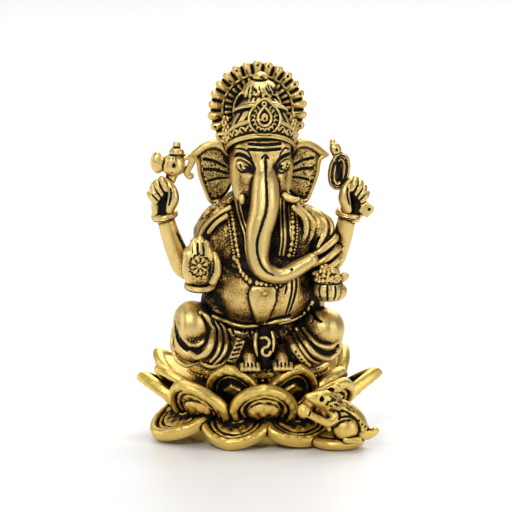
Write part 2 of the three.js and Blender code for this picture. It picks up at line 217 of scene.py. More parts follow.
class Clay:
    """A block of clay: signed distances on a grid, in mm. turn and at place its own axes in the row frame."""

    def __init__(self, low, high, voxel, at=(0, 0, 0), turn=None):
        self.voxel = voxel
        self.low = np.array(low, float) - 4 * voxel
        count = np.ceil((np.array(high, float) + 4 * voxel - self.low) / voxel).astype(int) + 1
        self.field = np.full(count, FAR, np.float32)
        self.ink = None
        self.at = np.array(at, float)
        self.turn = np.eye(3) if turn is None else turn

    def window(self, low, high, margin):
        """The slices of the grid around a box, or None where it misses the grid."""
        first = np.clip(np.floor((np.array(low) - margin - self.low) / self.voxel).astype(int), 0, None)
        last = np.ceil((np.array(high) + margin - self.low) / self.voxel).astype(int) + 1
        last = np.minimum(last, self.field.shape)
        return None if (last <= first).any() else tuple(slice(a, b) for a, b in zip(first, last))

    def axes(self, slices):
        """The x, y and z coordinates of some slices, each open along the other two."""
        steps = [np.arange(part.start, part.stop) for part in slices]
        x, y, z = ((self.low[k] + self.voxel * steps[k]).astype(np.float32) for k in range(3))
        return x[:, None, None], y[None, :, None], z[None, None, :]

    def everywhere(self, distance):
        """A shape whose distance function holds over the whole grid."""
        return self.low, self.low + self.voxel * np.array(self.field.shape), distance

    def distances(self, shape, margin):
        """(slices, distances) of a shape around its own box."""
        if not isinstance(shape, Limb):
            low, high, distance = shape
            slices = self.window(low, high, margin)
            return (None, None) if slices is None else (
                slices, distance(*self.axes(slices)).astype(np.float32)
            )
        slices = self.window(shape.low, shape.high, margin)
        if slices is None:
            return None, None
        found = np.full([s.stop - s.start for s in slices], margin, np.float32)
        for a, b in zip(shape.rows[:-1], shape.rows[1:]):
            thick = max(a[3], b[3])
            part = self.window(np.minimum(a[:3], b[:3]) - thick, np.maximum(a[:3], b[:3]) + thick, margin)
            if part is None:
                continue
            part = tuple(slice(max(p.start, s.start), min(p.stop, s.stop)) for p, s in zip(part, slices))
            if any(p.stop <= p.start for p in part):
                continue
            x, y, z = self.axes(part)
            e = (b[:3] - a[:3]).astype(np.float32)
            t = np.clip(
                ((x - a[0]) * e[0] + (y - a[1]) * e[1] + (z - a[2]) * e[2]) / max(float(e @ e), 1e-9), 0, 1
            )
            d = np.sqrt((x - a[0] - t * e[0]) ** 2 + (y - a[1] - t * e[1]) ** 2 + (z - a[2] - t * e[2]) ** 2)
            inner = tuple(slice(p.start - s.start, p.stop - s.start) for p, s in zip(part, slices))
            found[inner] = np.minimum(found[inner], d - (a[3] + t * (b[3] - a[3])))
        return slices, found

    def add(self, *shapes, blend=0.0):
        """Adds the shapes, each with a fillet of blend mm where it meets the clay."""
        for shape in shapes:
            slices, d = self.distances(shape, max(2.0, 1.5 * blend))
            if slices is not None:
                self.field[slices] = smooth_min(self.field[slices], d, blend)
        return self

    def cut(self, *shapes, blend=0.0, ink=False):
        """Takes the shapes away. ink=True also blackens what they leave."""
        for shape in shapes:
            slices, d = self.distances(shape, max(1.0, 1.5 * blend))
            if slices is not None:
                self.field[slices] = -smooth_min(-self.field[slices], d, blend)
        return self.blacken(*shapes) if ink else self

    def blacken(self, *shapes):
        """Marks the surface inside the shapes as covered with black oxide."""
        if self.ink is None:
            self.ink = np.full(self.field.shape, 1.0, np.float32)
        for shape in shapes:
            slices, d = self.distances(shape, 0.6)
            if slices is not None:
                self.ink[slices] = np.minimum(self.ink[slices], d)
        return self

    def brighten(self, *shapes):
        """Takes the oxide off the surface inside the shapes."""
        for shape in shapes:
            slices, d = self.distances(shape, 0.6)
            if slices is not None:
                self.ink[slices] = np.maximum(self.ink[slices], -d)
        return self

    def front(self, x, z):
        """The y of the surface seen from the front at each (x, z), or nan where there is none."""
        i = np.clip(
            np.round((np.asarray(x) - self.low[0]) / self.voxel).astype(int), 0, self.field.shape[0] - 1
        )
        k = np.clip(
            np.round((np.asarray(z) - self.low[2]) / self.voxel).astype(int), 0, self.field.shape[2] - 1
        )
        columns = self.field[i, :, k]
        inside = columns < 0
        j = inside.argmax(-1)
        before = np.take_along_axis(columns, np.maximum(j - 1, 0)[..., None], -1)[..., 0]
        here = np.take_along_axis(columns, j[..., None], -1)[..., 0]
        share = before / np.maximum(before - here, 1e-6)
        y = self.low[1] + self.voxel * (j - 1 + share)
        return np.where(inside.any(-1), y, np.nan)


def sample_grid(grid, p):
    """The grid's value at each row of p, in cells."""
    p = np.clip(p, 0, np.array(grid.shape) - 1.001)
    i = p.astype(int)
    f = (p - i).astype(np.float32)
    total = np.zeros(len(p), np.float32)
    for dx in (0, 1):
        for dy in (0, 1):
            for dz in (0, 1):
                weight = abs(1 - dx - f[:, 0]) * abs(1 - dy - f[:, 1]) * abs(1 - dz - f[:, 2])
                total += weight * grid[i[:, 0] + dx, i[:, 1] + dy, i[:, 2] + dz]
    return total


CORNERS = np.array([(a, b, c) for a in (0, 1) for b in (0, 1) for c in (0, 1)])
EDGES = [(a, b) for a in range(8) for b in range(a + 1, 8) if abs(CORNERS[a] - CORNERS[b]).sum() == 1]


def surface_net(field):
    """Vertices (in cells) and quads of the zero surface of a grid, by naive surface nets."""
    inside = field < 0
    total = np.zeros([n - 1 for n in field.shape], np.uint8)
    for a, b, c in CORNERS:
        total += inside[a : a + total.shape[0], b : b + total.shape[1], c : c + total.shape[2]]
    active = (total > 0) & (total < 8)
    cells = np.argwhere(active)
    index = np.full(active.shape, -1, np.int32)
    index[active] = np.arange(len(cells))
    values = np.stack([field[tuple((cells + corner).T)] for corner in CORNERS], 1)
    position = np.zeros((len(cells), 3), np.float32)
    crossings = np.zeros(len(cells), np.float32)
    for a, b in EDGES:
        va, vb = values[:, a], values[:, b]
        mask = (va < 0) != (vb < 0)
        t = np.where(mask, va / np.where(mask, va - vb, 1), 0)[:, None]
        position += np.where(mask[:, None], CORNERS[a] + t * (CORNERS[b] - CORNERS[a]), 0)
        crossings += mask
    vertices = cells + position / crossings[:, None]
    quads = []
    for axis in range(3):
        u, v = (axis + 1) % 3, (axis + 2) % 3
        here = np.moveaxis(inside, axis, 0)
        crossing = np.moveaxis(here[:-1] != here[1:], 0, axis)
        at = np.argwhere(crossing)
        shape = np.array(active.shape)
        at = at[(at[:, u] > 0) & (at[:, v] > 0) & (at[:, u] < shape[u]) & (at[:, v] < shape[v])]
        step_u, step_v = np.eye(3, dtype=int)[u], np.eye(3, dtype=int)[v]
        ring_cells = [at - step_u - step_v, at - step_v, at, at - step_u]
        quad = np.stack([index[tuple(c.T)] for c in ring_cells], 1)
        outwards = inside[tuple(at.T)]
        quad[~outwards] = quad[~outwards][:, ::-1]
        quads.append(quad)
    return vertices, np.concatenate(quads)


def mesh_object(name, clay, thin=1.0):
    """Meshes the clay as a Blender object, in metres; thin is the share of faces that a decimation keeps."""
    vertices, quads = surface_net(clay.field)
    for _ in range(2):  # settle each vertex on the true surface
        value = sample_grid(clay.field, vertices)
        slope = np.stack(
            [
                sample_grid(clay.field, vertices + 0.5 * e) - sample_grid(clay.field, vertices - 0.5 * e)
                for e in np.eye(3)
            ], 1
        )
        step = value[:, None] * slope / np.maximum((slope**2).sum(1, keepdims=True), 0.2 * clay.voxel**2)
        vertices = vertices - np.clip(step, -0.4, 0.4)
    points = (clay.low + vertices * clay.voxel) @ clay.turn.T + clay.at
    data = bpy.data.meshes.new(name)
    data.vertices.add(len(points))
    data.vertices.foreach_set("co", (points * MM).astype(np.float32).ravel())
    data.loops.add(4 * len(quads))
    data.loops.foreach_set("vertex_index", quads.astype(np.int32).ravel())
    data.polygons.add(len(quads))
    data.polygons.foreach_set("loop_start", np.arange(0, 4 * len(quads), 4, dtype=np.int32))
    data.polygons.foreach_set("loop_total", np.full(len(quads), 4, np.int32))
    data.update(calc_edges=True)
    data.validate()
    made = bpy.data.objects.new(name, data)
    bpy.context.scene.collection.objects.link(made)
    if thin < 1:
        thinner = made.modifiers.new("thin", "DECIMATE")
        thinner.ratio = thin
        with bpy.context.temp_override(object=made, active_object=made, selected_objects=[made]):
            bpy.ops.object.modifier_apply(modifier=thinner.name)
    made.data.shade_smooth()
    return made


# ---------------------------------------------------------------- sculpting helpers


def clay_of(node, voxel, margin=2.5):
    """Clay around a CAD node's box, in the row frame."""
    low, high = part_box(node)
    return Clay(np.array(low) / MM - margin, np.array(high) / MM + margin, voxel)


def spaced(points, gap):
    """Points at equal gaps along a polyline."""
    p = np.array(points, float)
    reach = np.concatenate([[0], np.cumsum(np.linalg.norm(np.diff(p, axis=0), axis=1))])
    at = np.linspace(0, reach[-1], max(2, int(round(reach[-1] / gap)) + 1))
    return np.stack([np.interp(at, reach, p[:, k]) for k in range(p.shape[1])], 1)


def laid(clay, points, lift=0.0, steps=8, closed=False):
    """Points (x, z) smoothed and laid on the clay's front surface; lift moves them towards the viewer."""
    p = spaced(curve(points, steps, closed), 0.35)
    y = clay.front(p[:, 0], p[:, 1])
    good = ~np.isnan(y)
    y = np.interp(np.arange(len(y)), np.flatnonzero(good), y[good])
    y = np.convolve(np.pad(y, 3, mode="edge"), np.ones(7) / 7, mode="valid")
    return np.stack([p[:, 0], y - lift, p[:, 1]], 1)


def line(clay, points, radius, lift=0.0, taper=0.0, closed=False):
    """A bar laid on the clay's front along points (x, z); taper thins its two ends."""
    p = laid(clay, points, lift, closed=closed)
    share = np.linspace(0, 1, len(p))
    thin = 1 - taper * np.abs(2 * share - 1) ** 3
    return Limb(np.hstack([p, (radius * thin)[:, None]]), steps=0)


def beads(points, radius, gap):
    """Balls at equal gaps along a line of 3-D points."""
    return [blob(p, radius) for p in spaced(points, gap)]


def around(count, start=0.0):
    """count angles around a circle, in radians."""
    return [start + 2 * math.pi * i / count for i in range(count)]


def polar(middle, radius, angle):
    """The point at an angle around middle, on a circle, or on an ellipse where radius is a pair."""
    first, second = radius if isinstance(radius, tuple) else (radius, radius)
    return middle[0] + first * math.cos(angle), middle[1] + second * math.sin(angle)


def even_bar(points, radius):
    """A bar of one radius through points as they are."""
    return Limb(np.hstack([points, np.full((len(points), 1), radius)]), steps=0)


def bell(x, at, width):
    """1 at the middle of a soft bump, falling to 0 at its sides."""
    return np.exp(-(((x - at) / width) ** 2))


# ---------------------------------------------------------------- lotus

LOTUS_DEPTH = 0.8  # the lotus is an ellipse in plan: its depth as a share of its width
WIDEST = 0.34  # where a petal is widest, as a share of its length
PETALS = 8  # in each of the three rings
SIDE_PETALS = (2, 6)
MOUSE_SIDE = 6  # the lower petal that reaches further out, beside the mouse
OUTER = dict(foot=(22.5, 18.5, 7.4), tip=(36.2, 28, 21.2), half=10.6, thick=3.6, turn=0.0, side=1)
INNER = dict(foot=(20, 15.5, 12.4), tip=(29.5, 22, 25.6), half=9.0, thick=3.0, turn=0.5, side=1)
INNER_TIPS = {1: (27.5, 21, 22.6), 5: (33.6, 25, 25.0), 6: (34.6, 24, 23.8)}  # petals with a tip of their own
LOWER = dict(foot=(20, 16, 10.4), tip=(33.2, 28.0, 1.3), half=11.8, thick=3.6, turn=0.56, side=-1)


def petal_axes(ring_of, index):
    """Where petal number index of a ring starts, its length, and its across, along and face directions."""
    angle = (index + ring_of["turn"]) * 2 * math.pi / PETALS - math.pi / 2
    c, s = math.cos(angle), math.sin(angle)
    foot = np.array([ring_of["foot"][0] * c, ring_of["foot"][1] * s, ring_of["foot"][2]])
    tip = np.array([ring_of["tip"][0] * c, ring_of["tip"][1] * s, ring_of["tip"][2]])
    across = np.array([-ring_of["foot"][0] * s, ring_of["foot"][1] * c, 0])
    across /= np.linalg.norm(across)
    length = np.linalg.norm(tip - foot)
    along = (tip - foot) / length
    across -= along * (across @ along)
    across *= ring_of["side"] / np.linalg.norm(across)
    return foot, length, across, along, np.cross(across, along)


def petal(ring_of, index, bend, point, relief, seed, mark=None, cup=0.0):
    """One lotus petal: a plate with a rolled lip and ridges that follow its edge.

    bend is how far its tip rolls towards the face, cup how far its sides curl back, and point how sharply its
    outline narrows to the tip. relief gives how deep the face lies at a distance from the edge."""
    foot, length, across, along, face = petal_axes(ring_of, index)
    half, thick = ring_of["half"] * (1 - 0.18 * point), ring_of["thick"] / 2 * (1 + 0.3 * point)
    sunk = 1.0 if ring_of["side"] > 0 else 1.3  # the lower tier is thicker behind, to reach the base
    rng = np.random.default_rng(seed)
    wave = rng.uniform(-0.45, 0.45, 4)
    dents = rng.uniform(0, 6, 2)
    middle = WIDEST * length
    pointed = point > 0.3
    clay = Clay(
        (-half - 1, -4, -6), (half + 1, length + 1.5, 7), COARSE, foot, np.stack([across, along, face], 1)
    )

    def inside(u, v):
        """How far (u, v) lies inside the even outline."""
        up = np.where(v > middle, (v - middle) / (length - middle), (middle - v) / (middle + 7))
        wide = np.abs(u) / half
        out = np.sqrt(wide**2 + up**2) + (0.16 + point) * wide * np.where(v > middle, up, 0)
        return (1 - out) * 0.5 * (half + length - middle)

    def distance(u, v, w):
        angle = np.arctan2(v - middle, u)
        edge = inside(u, v) + wave[0] * np.cos(2 * angle) + wave[1] * np.sin(3 * angle)
        sheet = bend * (np.clip(v, 0, None) / length) ** 3 + wave[2] * u / half * v / length
        sheet = sheet - cup * (np.abs(u) / half) ** 2
        rise = w - sheet
        ripple = 0.13 * np.sin(1.9 * u + dents[0]) * np.sin(1.6 * v + dents[1])
        top = thick - relief(edge, u, v - middle) + ripple
        hollow = 0.25 * bell(edge, 3.2, 0.8) + (0.45 * np.clip((edge - 2.0) / 0.8, 0, 1) if pointed else 0)
        flat = np.where(rise > 0, rise - top, -rise - thick * sunk * (1 - hollow))
        r = 0.85 * thick
        a, b = r - edge, flat + r
        solid = np.sqrt(np.maximum(a, 0) ** 2 + np.maximum(b, 0) ** 2) + np.minimum(np.maximum(a, b), 0) - r
        height = foot[2] + u * across[2] + v * along[2] + w * face[2]
        return np.maximum(solid, 0.05 - height)

    def grooved(u, v, w):
        """Negative in the grooves of the face: the places that stay black."""
        edge = inside(u, v)
        front = 0.8 * (1.25 - relief(edge, u, v - middle))
        return np.where(edge < 2.2, 1.0, np.where(w > 0, front, 2.6 - edge if pointed else 1.0))

    clay.add(clay.everywhere(distance))
    clay.blacken(clay.everywhere(grooved))
    if mark is not None:
        mark(clay, length)
    return clay


def outer_relief(edge, u, v):
    """The outer tier: a thick lip, two sharp ridges inside it and a smooth boss low down."""
    depth = (1.15 + 0.2 * np.sin(1.3 * u + 0.5 * v)) * bell(edge, 3.1, 0.4)
    depth = depth + (0.75 + 0.45 * np.sin(0.7 * u - v)) * bell(edge, 5.0, 0.34)
    inside = np.clip((edge - 2.6) / 1.2, 0, 1)
    boss = np.clip(1 - (u / 4.9) ** 2 - ((v + 0.2) / 3.8) ** 2, 0, 1)
    return depth * (boss < 0.12) + 0.75 * inside - 1.45 * np.sqrt(boss) * inside


def side_relief(edge, u, v):
    """The two outer petals at the sides: a thick lip round a narrow black slot."""
    slot = np.clip((1.5 - np.abs(u) - 0.12 * np.clip(v, 0, 9)) / 0.5, 0, 1)
    slot = slot * np.clip((v + 3.5) / 1.2, 0, 1) * np.clip((7.5 - v) / 1.2, 0, 1)
    return 0.5 * np.clip((edge - 2.2) / 1.2, 0, 1) + 1.5 * slot


def inner_relief(edge, u, v):
    """The inner tier: a lip over a black hollow with one ridge and a small lozenge in it."""
    hollow = np.clip((edge - 2.3) / 0.6, 0, 1)
    ridge = bell(edge, 3.9, 0.4)
    lozenge = np.clip((2.5 - np.abs(u) * 0.8 - np.abs(v - 0.8)) / 0.6, 0, 1)
    star = np.clip((1.6 - np.abs(u) * 0.3 - np.abs(v - 0.8) * 1.4) / 0.6, 0, 1)
    return 1.75 * hollow - 1.1 * ridge * hollow - 1.5 * np.maximum(lozenge, star * (np.abs(u) < 2.7))


def lower_relief(edge, u, v):
    """The lower tier: grooves that follow the edge, and a flat drop in the middle."""
    depth = (1.0 + 0.3 * np.sin(u + 0.4 * v)) * bell(edge, 3.0, 0.38)
    depth = depth + (0.85 + 0.4 * np.sin(0.8 * u - v)) * bell(edge, 4.7, 0.34)
    drop = np.clip((3.0 - np.hypot(u * 0.9, v + 0.6) - 0.25 * np.clip(v, 0, 9)) / 0.45, 0, 1)
    return 0.7 * np.clip((edge - 2.2) / 1.5, 0, 1) + depth * (1 - drop) - 0.9 * drop


def pit(u, v, size):
    """A small casting pit on a petal's face."""

    def mark(clay, length):
        along = WIDEST * length + v
        rows = [[u, along, 4, size], [u, along, -0.4, size * 0.8]]
        clay.cut(Limb(rows, steps=0), ink=True)

    return mark


def outer_petal(index, seed):
    """One petal of the outer tier: the two at the sides are narrower, drawn to a point and curl back."""
    at_side = index in SIDE_PETALS
    sharp = 0.45 if at_side else 0.06
    shape = dict(OUTER, half=OUTER["half"] - (2.4 if at_side else 0))
    relief = side_relief if at_side else outer_relief
    mark = pit(-0.4 + 0.3 * (index % 3), -0.2, 0.5) if index % 2 else None
    return petal(shape, index, 4 * sharp + 0.4, sharp, relief, seed, mark, 2.6 * sharp - 0.1)


def lotus_petals(seed=7):
    """All three rings of petals, as (node, builder) pairs."""
    jobs = []
    for i in range(PETALS):
        inner = dict(INNER, tip=INNER_TIPS.get(i, INNER["tip"]))
        lower = dict(LOWER, tip=(36.4, 28.0, 2.2)) if i == MOUSE_SIDE else LOWER
        jobs.append((f"outer_petal_{i + 1}", partial(outer_petal, i, seed + i)))
        jobs.append((f"inner_petal_{i + 1}", partial(petal, inner, i, 0.5, 0.1, inner_relief, seed + 20 + i)))
        jobs.append((f"lower_petal_{i + 1}", partial(petal, lower, i, 0.4, 0.0, lower_relief, seed + 40 + i)))
    return jobs


def lotus_core():
    """The stem and seat that the petals grow from, with rows of stamens around its top."""
    clay = clay_of("lotus_core", COARSE, 1.0)
    profile = [
        (23.5, 0.0),
        (23.8, 3.5),
        (21.5, 8.0),
        (19.0, 13.0),
        (19.5, 18.0),
        (21.5, 21.0),
        (21.0, 22.3),
        (0.1, 22.5),
    ]
    clay.add(turned(profile, (0, 0, 0), LOTUS_DEPTH))
    for row, (radius, height) in enumerate(((21.6, 20.0), (21.3, 21.6), (19.6, 22.5), (17.6, 22.5))):
        for a in around(64, 0.05 * row):
            at = (radius * math.cos(a), LOTUS_DEPTH * radius * math.sin(a), height)
            clay.add(blob(at, 0.5), blend=0.2)
    return clay


# ---------------------------------------------------------------- mouse


def mouse_plinth_petal():
    """The thick petal end that the mouse sits on."""
    clay = clay_of("mouse_plinth_petal", COARSE, 1.5)
    clay.add(blob((22.4, -22.6, 2.4), (8.4, 8.0, 2.9)))
    clay.cut(block((22.4, -23, -3), (12, 12, 3), soft=0.1))
    rim = [(*polar((22.4, -22.8), (6.3, 6.2), a), 4.4) for a in around(24)]
    clay.cut(thread(rim, 0.55, closed=True), blend=0.4, ink=True)
    return clay


HAUNCH = (24.4, 7.2)  # the middle of the mouse's round haunch: x and z


def over_haunch(reach, y, back):
    """An arc over the haunch, reach mm from its middle; back sets its two ends behind its top."""
    arc = []
    for a in np.linspace(-0.1, 3.2, 14):
        x, z = polar(HAUNCH, reach, a)
        arc.append((x, y + back * abs(math.cos(a)), z))
    return arc


def mouse():
    """The mouse with its sweet, facing the viewer's left."""
    clay = clay_of("mouse", FINE, 2.0)
    clay.add(
        Limb(
            [
                [19.8, -27.2, 13.2, 3.2],
                [22.6, -26.6, 11.6, 4.3],
                [26.2, -25.6, 8.8, 4.3],
                [29.0, -25.0, 6.0, 2.9],
            ]
        )
    )
    head = [
        [19.4, -27.6, 15.6, 3.2],
        [17.2, -28.8, 16.4, 2.9],
        [14.9, -29.9, 17.0, 2.0],
        [12.9, -30.6, 17.6, 0.95],
    ]
    clay.add(Limb(head), blend=1.2)
    clay.add(Limb([[19.2, -26.4, 18.2, 1.5], [21.4, -26.0, 19.2, 1.7]]), blend=0.5)
    clay.cut(blob((19.9, -27.8, 18.8), (1.1, 0.8, 0.9)), blend=0.3, ink=True)
    clay.add(
        Limb(
            [
                [22.0, -28.9, 11.4, 2.0],
                [19.4, -30.4, 9.4, 1.45],
                [16.2, -31.2, 10.6, 1.15],
                [12.8, -31.2, 12.4, 1.1],
            ]
        ),
        blend=0.5,
    )
    clay.add(blob((11.6, -30.8, 13.2), 2.15), blob((10.9, -31.2, 14.4), 1.0), blend=0.3)
    clay.add(blob((24.4, -28.9, 7.2), (3.7, 2.6, 3.6)), blend=0.3)
    clay.add(Limb([[24.4, -30.2, 3.9, 1.0], [28.2, -30.2, 3.7, 1.1]]), blend=0.4)
    clay.add(Limb([[29.0, -26.0, 5.0, 1.9], [31.4, -25.4, 4.8, 1.8], [33.6, -25.2, 5.6, 1.2]]), blend=0.6)
    for reach in (4.1, 5.9):
        clay.cut(thread(over_haunch(reach, -30.9, 1.3), 0.36), blend=0.1, ink=True)
    clay.add(thread(over_haunch(5.0, -30.4, 1.7), 0.62), blend=0.15)
    cuff = [(20.4 + 2.0 * math.cos(a), -31.0, 11.4 + 2.0 * math.sin(a)) for a in np.linspace(-0.4, 3.0, 10)]
    clay.cut(thread(cuff, 0.4), blend=0.1, ink=True)
    clay.add(ring((16.8, -31.2, 16.9), 1.05, 0.3, (90, 0, 25)), blend=0.15)
    clay.cut(blob((16.8, -31.3, 16.9), (0.75, 0.9, 0.9)), ink=True)
    clay.cut(Limb([[11.8, -31.6, 16.4, 0.35], [14.2, -31.8, 15.0, 0.4], [16.6, -31.4, 14.0, 0.35]]), ink=True)
    rng = np.random.default_rng(3)
    for _ in range(44):  # wet fur on the neck and down the back
        t, side = rng.uniform(0, 1) ** 1.7, rng.uniform(-1, 1)
        x, z = 18.9 + 9.0 * t + 1.6 * side, 16.6 - 8.0 * t + 2.2 * side
        y = float(clay.front(x, z))
        if np.isfinite(y) and math.hypot(x - HAUNCH[0], z - HAUNCH[1]) > 6.6:
            clay.cut(Limb([[x, y, z, 0.2], [x + 0.8, y + 0.1, z - 0.5, 0.14]], steps=0), ink=True)
    for path in (
        [(21.4, 9.2), (18.6, 8.0), (15.4, 9.4)],
        [(23.0, 13.4), (25.6, 11.8), (28.0, 9.4)],
        [(12.9, 12.0), (13.6, 13.4)],
    ):
        clay.cut(line(clay, path, 0.3, taper=0.5), ink=True)
    for k in range(6):
        x = 26.6 + 0.9 * k
        clay.cut(
            Limb([[x, -29.5, 12.4 - 1.3 * k, 0.28], [x + 0.5, -24, 13.2 - 1.3 * k, 0.28]], steps=0),
            ink=True,
        )
    clay.cut(Limb([[31.0, -26.6, 6.2, 0.3], [33.2, -26.2, 6.6, 0.3]]), ink=True)
    clay.cut(block((24, -26, -3), (20, 12, 3.2), soft=0.1))
    return clay


# ---------------------------------------------------------------- body

FOLD_LEFT = [(9.0, 52.4), (9.2, 48.4), (8.6, 44.6), (7.2, 39.2)]
FOLD_RIGHT = [(10.2, 52.4), (10.6, 48.8), (9.8, 44.6), (8.3, 39.6)]
BELT = [
    (-14.6, 38.6),
    (-11.5, 37.1),
    (-8.2, 36.0),
    (-5.0, 35.5),
    (-1.7, 35.9),
    (1.7, 36.7),
    (5.1, 37.6),
    (8.5, 38.0),
]
BELT_END = [(5.6, 36.4), (9.0, 37.0), (12.2, 38.2), (14.4, 40.4), (15.8, 42.6)]
CREASE = [(-15.5, 56.0), (-11.0, 54.2), (-7.0, 53.0), (0.0, 52.4), (8.0, 53.4), (15.5, 56.5)]


def torso_form(clay):
    """Hips, belly, chest, shoulders and neck in one smooth mass."""
    clay.add(blob((0, 1, 33), (16.5, 11.2, 10.5)))
    clay.add(blob((0.9, -3.3, 46.0), (16.3, 13.3, 12.4)), blend=2.0)
    clay.add(blob((0.2, 0.2, 61.5), (15.0, 10.8, 10.8)), blend=1.6)
    clay.add(blob((0.6, -2.6, 54.5), (14.4, 11.6, 5.0)), blend=2.0)
    for side in (-1, 1):
        clay.add(blob((side * 8.6, -6.2, 61.0), (7.2, 5.6, 8.0), (0, side * 12, 0)), blend=1.4)
        clay.add(
            Limb([[side * 7, 1, 69.5, 4.6], [side * 12.6, 0.4, 66.6, 4.9], [side * 15.4, -0.4, 63, 4.4]]),
            blend=2.5,
        )
        clay.add(Limb([[side * 15.4, -0.4, 62, 4.4], [side * 16.4, -1.4, 54, 3.8]]), blend=2.0)
        clay.add(blob((side * 6.5, 9.4, 58), (5.6, 3.4, 8.5)), blend=3)
    clay.add(blob((-13.6, -4.0, 41.8), (4.4, 6.0, 6.2)), blob((15.2, -3.0, 43.0), (4.4, 6.0, 7.0)), blend=1.5)
    clay.add(Limb([[0.2, 0.5, 66, 8.2], [0.2, 0.2, 74, 7.4], [0.3, -0.5, 78.6, 7.0]]), blend=3)
    return clay


def torso():
    """The body with its belt, lap folds and creases."""
    clay = torso_form(clay_of("torso", MEDIUM, 3.0))
    clay.cut(line(clay, CREASE, 0.6, lift=0.1), blend=0.8)
    clay.cut(
        line(clay, FOLD_LEFT, 0.36, taper=0.5), line(clay, FOLD_RIGHT, 0.4, taper=0.5), blend=0.1, ink=True
    )
    clay.cut(line(clay, [(7.5, 49.2), (7.3, 47.6), (6.8, 46.2)], 0.32, taper=0.8), blend=0.1, ink=True)
    clay.add(Limb([[17.6, -6.0, 49.0, 0.9], [18.3, -7.0, 45.0, 1.1], [18.6, -7.4, 41.0, 1.1]]), blend=0.3)
    clay.cut(line(clay, [(x, z + 1.0) for x, z in BELT], 0.75, lift=-0.1), blend=0.3)
    clay.cut(line(clay, [(x, z - 1.2) for x, z in BELT], 0.7, lift=0.2), blend=0.3)
    clay.add(line(clay, BELT, 0.62, lift=0.6), line(clay, BELT_END, 0.55, lift=0.45), blend=0.25)
    clay.cut(line(clay, [(7.0, 36.0), (11.0, 36.2), (14.6, 39.4)], 0.5, lift=0.0), blend=0.3, ink=True)
    for k in range(3):  # folds of the waist cloth that run down to the viewer's-right thigh
        clay.cut(
            line(clay, [(12.6 + 1.3 * k, 39.4 + k), (12.2 + 1.3 * k, 36), (11.4 + 1.2 * k, 33)], 0.38),
            ink=True,
        )
    rng = np.random.default_rng(6)
    for _ in range(46):  # crumpled cloth in the lap
        x, z = rng.uniform(-10, 11), rng.uniform(28, 35)
        y = float(clay.front(x, z))
        turn = rng.uniform(-0.9, 0.9)
        clay.cut(Limb([[x, y, z, 0.42], [x + 0.8 * turn, y, z - 1.3, 0.3]], steps=0), blend=0.15, ink=True)
    spine = [[0, 13.0, z, 0.9] for z in (68, 60, 50, 42)]
    clay.cut(Limb(spine), blend=1.4)
    back_belt = []
    for a in np.linspace(-0.1, math.pi + 0.1, 24):
        back_belt.append((*polar((0, 1.4), (16.6, 11.8), a), 36.5 + 1.6 * math.cos(a) ** 2))
    clay.add(thread(back_belt, 0.8), blend=0.3)
    low_back = [(x, y + 0.6, z - 1.6) for x, y, z in back_belt]
    clay.cut(thread(low_back, 0.5), blend=0.3)
    for k in range(7):  # cloth folds over the seat at the back
        a = math.pi * (0.14 + 0.12 * k)
        top = [*polar((0, 1), (15.6, 11.3), a), 34.0, 0.35]
        rows = [top, [*polar((0, 1), (17.4, 12.4), a + 0.1), 24, 0.5]]
        clay.cut(Limb(rows), blend=0.5)
    return clay


def waist_pleat():
    """The scrolled cloth end that hangs between the legs."""
    clay = clay_of("waist_pleat", FINE, 2.6)
    clay.add(
        Limb([[0.8, -13.6, 34.6, 1.6], [0.8, -15.6, 31, 1.9], [0.6, -17.0, 27, 1.7], [0.8, -17.4, 25, 1.3]])
    )
    clay.blacken(
        Limb([[0.8, -14.6, 34.6, 1.9], [0.8, -16.4, 31, 2.2], [0.6, -17.9, 27, 2.0], [0.8, -18.4, 25, 1.4]])
    )
    scroll = [
        (-0.4, -17.5, 33.2),
        (1.0, -18.2, 33.4),
        (2.0, -18.6, 32.2),
        (1.4, -18.9, 30.8),
        (0.2, -19.2, 30.4),
        (-0.3, -19.6, 29.2),
    ]
    scroll += [(0.6, -19.9, 28.2), (1.8, -19.9, 28.4), (2.2, -19.8, 29.3)]
    clay.add(thread(scroll, 0.46), blend=0.1)
    clay.brighten(thread(scroll, 0.7))
    clay.add(Limb([[3.0, -15.2, 34.5, 0.5], [3.4, -16.6, 31.5, 0.55], [3.0, -17.4, 29.0, 0.4]]), blend=0.3)
    clay.add(Limb([[-1.8, -15.2, 34.0, 0.5], [-2.2, -16.8, 31.0, 0.6], [-1.6, -17.6, 27.8, 0.5]]), blend=0.3)
    return clay


def belly_pendant():
    """The flat leaf that lies on the belly, with a bead at its top."""
    clay = clay_of("belly_pendant", FINE, 3.4)
    base = MADE["torso"]
    rows = []
    for z in np.arange(36.9, 48.4, 0.3):
        share = (48.2 - z) / 11.3
        fullness = math.sin(math.pi * min(1, 0.1 + share) ** 0.62) ** 0.7
        half = 2.9 * fullness * (1 - 0.5 * share) + 0.7 + 0.2 * share
        shift = 1.2 * share - 0.5
        for x in np.arange(-half, half + 0.01, 0.45):
            y = float(base.front(x + 0.2 + shift * -0.2, z))
            rows.append((x + 0.1 - 0.25 * shift, y, z))
    for p in rows:
        clay.add(blob((p[0], p[1] - 0.1, p[2]), 0.78), blend=0.35)
    clay.add(blob((0.6, float(base.front(0.6, 47.2)) - 0.9, 47.0), 0.75), blend=0.1)
    return clay


